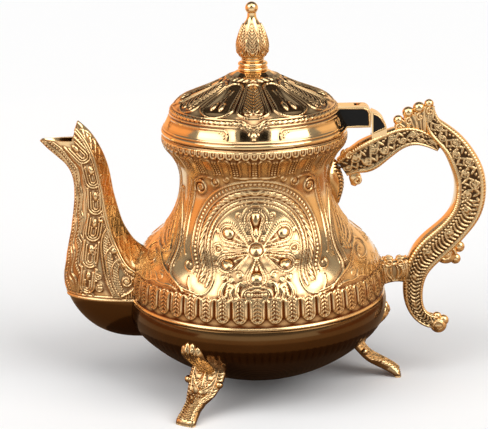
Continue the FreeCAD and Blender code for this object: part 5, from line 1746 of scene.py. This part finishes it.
# Flags of the studio, and rings of painted shadow on the floor, that only the metal mirrors, each a band
# between two circles round the pot:
# degrees from the front, then radius and height of either edge in metres
FLAGS = (("amber_flag", 180.0, 298.0, 0.85, 0.02, 0.85, 0.5, "FFB878"),
         ("cream_flag", 62.0, 180.0, 0.85, 0.02, 0.85, 0.5, "FFDCB0"),
         ("dark_flag", -20.0, 20.0, 0.9, 0.58, 0.9, 0.96, "0E0906"),
         ("dark_rear_flag", 115.0, 245.0, 0.7, 0.85, 0.7, 2.8, "1E1107"),
         # painted shadow: three rings on the floor, darkest under the pot and paler outwards, that only the
         # metal mirrors as the pot's shadow
         ("under_flag", 0.0, 360.0, 0.01, ON_FLOOR, 0.1, ON_FLOOR, "5A4028"),
         ("near_flag", 0.0, 360.0, 0.1, ON_FLOOR, 0.16, ON_FLOOR, "94785A"),
         ("far_flag", 0.0, 360.0, 0.16, ON_FLOOR, 0.26, ON_FLOOR, "C4A888"),
         ("left_floor_flag", -125.0, -48.0, 0.26, ON_FLOOR, 0.8, ON_FLOOR, "A8703C"),
         ("right_floor_flag", 48.0, 125.0, 0.26, ON_FLOOR, 0.8, ON_FLOOR, "A8703C"))
FLAG_STEPS = 48
FLOOR_REACH = 6.0
# Soft suns: strength's name in the stage settings, tilt from overhead, turn and width in degrees
SUNS = (("top", 24.0, 0.0, 36.0), ("key", 52.0, 54.0, 46.0), ("fill", 54.0, -56.0, 46.0))
# Camera fitted to the photo: its right, up and back directions and its place in metres
CAMERA_AXES = ((0.99973, 0.00639, -0.02253), (0.01999, 0.26831, 0.96313), (0.01220, -0.96331, 0.26811))
CAMERA_PLACE = (0.004158, -0.85092, 0.33259)


class POT_OT_stage(bpy.types.Operator):
    """Pale floor, white surround, three soft suns, studio flags, rings of painted shadow on the floor and the
    camera
    """
    bl_idname = "pot.stage"
    bl_label = "Stage"

    def execute(self, context):
        scene = context.scene
        stage = scene.pot_stage
        scene.view_settings.view_transform = "Standard"
        corners = [(x * FLOOR_REACH, y * FLOOR_REACH, 0) for x, y in ((-1, -1), (1, -1), (1, 1), (-1, 1))]
        self.sheet(scene, "floor", corners, [(0, 1, 2, 3)], tuple(stage.floor))
        for name, start, end, near, low, away, high, colour in FLAGS:
            turns = np.radians(np.linspace(start, end, FLAG_STEPS))
            edges = ((near, low), (away, high))
            points = [(r * math.sin(a), -r * math.cos(a), z) for r, z in edges for a in turns]
            mirrored_sheet = self.sheet(scene, name, points, quads_of(2, FLAG_STEPS).tolist(), as_linear(colour))
            mirrored_sheet.visible_camera = False
            mirrored_sheet.visible_diffuse = False
            mirrored_sheet.visible_shadow = False
            mirrored_sheet.visible_transmission = False
        world = bpy.data.worlds.new("white_surround")
        world.use_nodes = True
        sky = world.node_tree.nodes["Background"]
        sky.inputs["Color"].default_value = (1, 1, 1, 1)
        sky.inputs["Strength"].default_value = stage.sky
        scene.world = world
        for name, tilt, turn, wide in SUNS:
            lamp = bpy.data.lights.new(name, "SUN")
            lamp.angle = math.radians(wide)
            lamp.energy = getattr(stage, name)
            sun = bpy.data.objects.new(name, lamp)
            sun.rotation_euler = (math.radians(tilt), 0.0, math.radians(turn))
            scene.collection.objects.link(sun)
        self.camera(scene, stage.lens)
        return {"FINISHED"}

    def camera(self, scene, focal_length):
        lens = bpy.data.cameras.new("photo_view")
        lens.lens = focal_length
        lens.sensor_width = 36.0
        lens.clip_start = 0.01
        lens.clip_end = 50.0
        camera = bpy.data.objects.new("photo_view", lens)
        columns = CAMERA_AXES + (CAMERA_PLACE,)
        camera.matrix_world = Matrix([[column[k] for column in columns] for k in range(3)] + [[0, 0, 0, 1]])
        scene.collection.objects.link(camera)
        scene.camera = camera

    def sheet(self, scene, name, points, faces, colour):
        """Matt painted sheet that belongs to the studio."""
        mesh = bpy.data.meshes.new(name)
        mesh.from_pydata(points, [], faces)
        paint = bpy.data.materials.new(name + "_paper")
        paint.use_nodes = True
        shader = paint.node_tree.nodes["Principled BSDF"]
        shader.inputs["Base Color"].default_value = (*colour, 1)
        shader.inputs["Roughness"].default_value = 0.9
        mesh.materials.append(paint)
        sheet = bpy.data.objects.new(name, mesh)
        scene.collection.objects.link(sheet)
        return sheet


class POT_PT_panel(bpy.types.Panel):
    """Sizes, colours and pieces of the coffee pot"""
    bl_idname = "POT_PT_panel"
    bl_label = "Coffee pot"
    bl_space_type = "VIEW_3D"
    bl_region_type = "UI"
    bl_category = "Coffee pot"

    def draw(self, context):
        for group in (context.scene.pot_chasing, context.scene.pot_finish, context.scene.pot_stage):
            for name in group.__annotations__:
                self.layout.prop(group, name)
        for piece in PIECES + (POT_OT_stage,):
            self.layout.operator(piece.bl_idname)


GROUPS = {"pot_chasing": PotChasing, "pot_finish": PotFinish, "pot_stage": PotStage}
CLASSES = tuple(GROUPS.values()) + PIECES + (POT_OT_stage, POT_PT_panel)


def register():
    for item in CLASSES:
        bpy.utils.register_class(item)
    for name, group in GROUPS.items():
        setattr(bpy.types.Scene, name, bpy.props.PointerProperty(type=group))


def unregister():
    for name in GROUPS:
        delattr(bpy.types.Scene, name)
    for item in reversed(CLASSES):
        bpy.utils.unregister_class(item)


def main():
    register()
    for piece in PIECES + (POT_OT_stage,):
        group, name = piece.bl_idname.split(".")
        getattr(getattr(bpy.ops, group), name)()


if __name__ == "__main__":
    main()
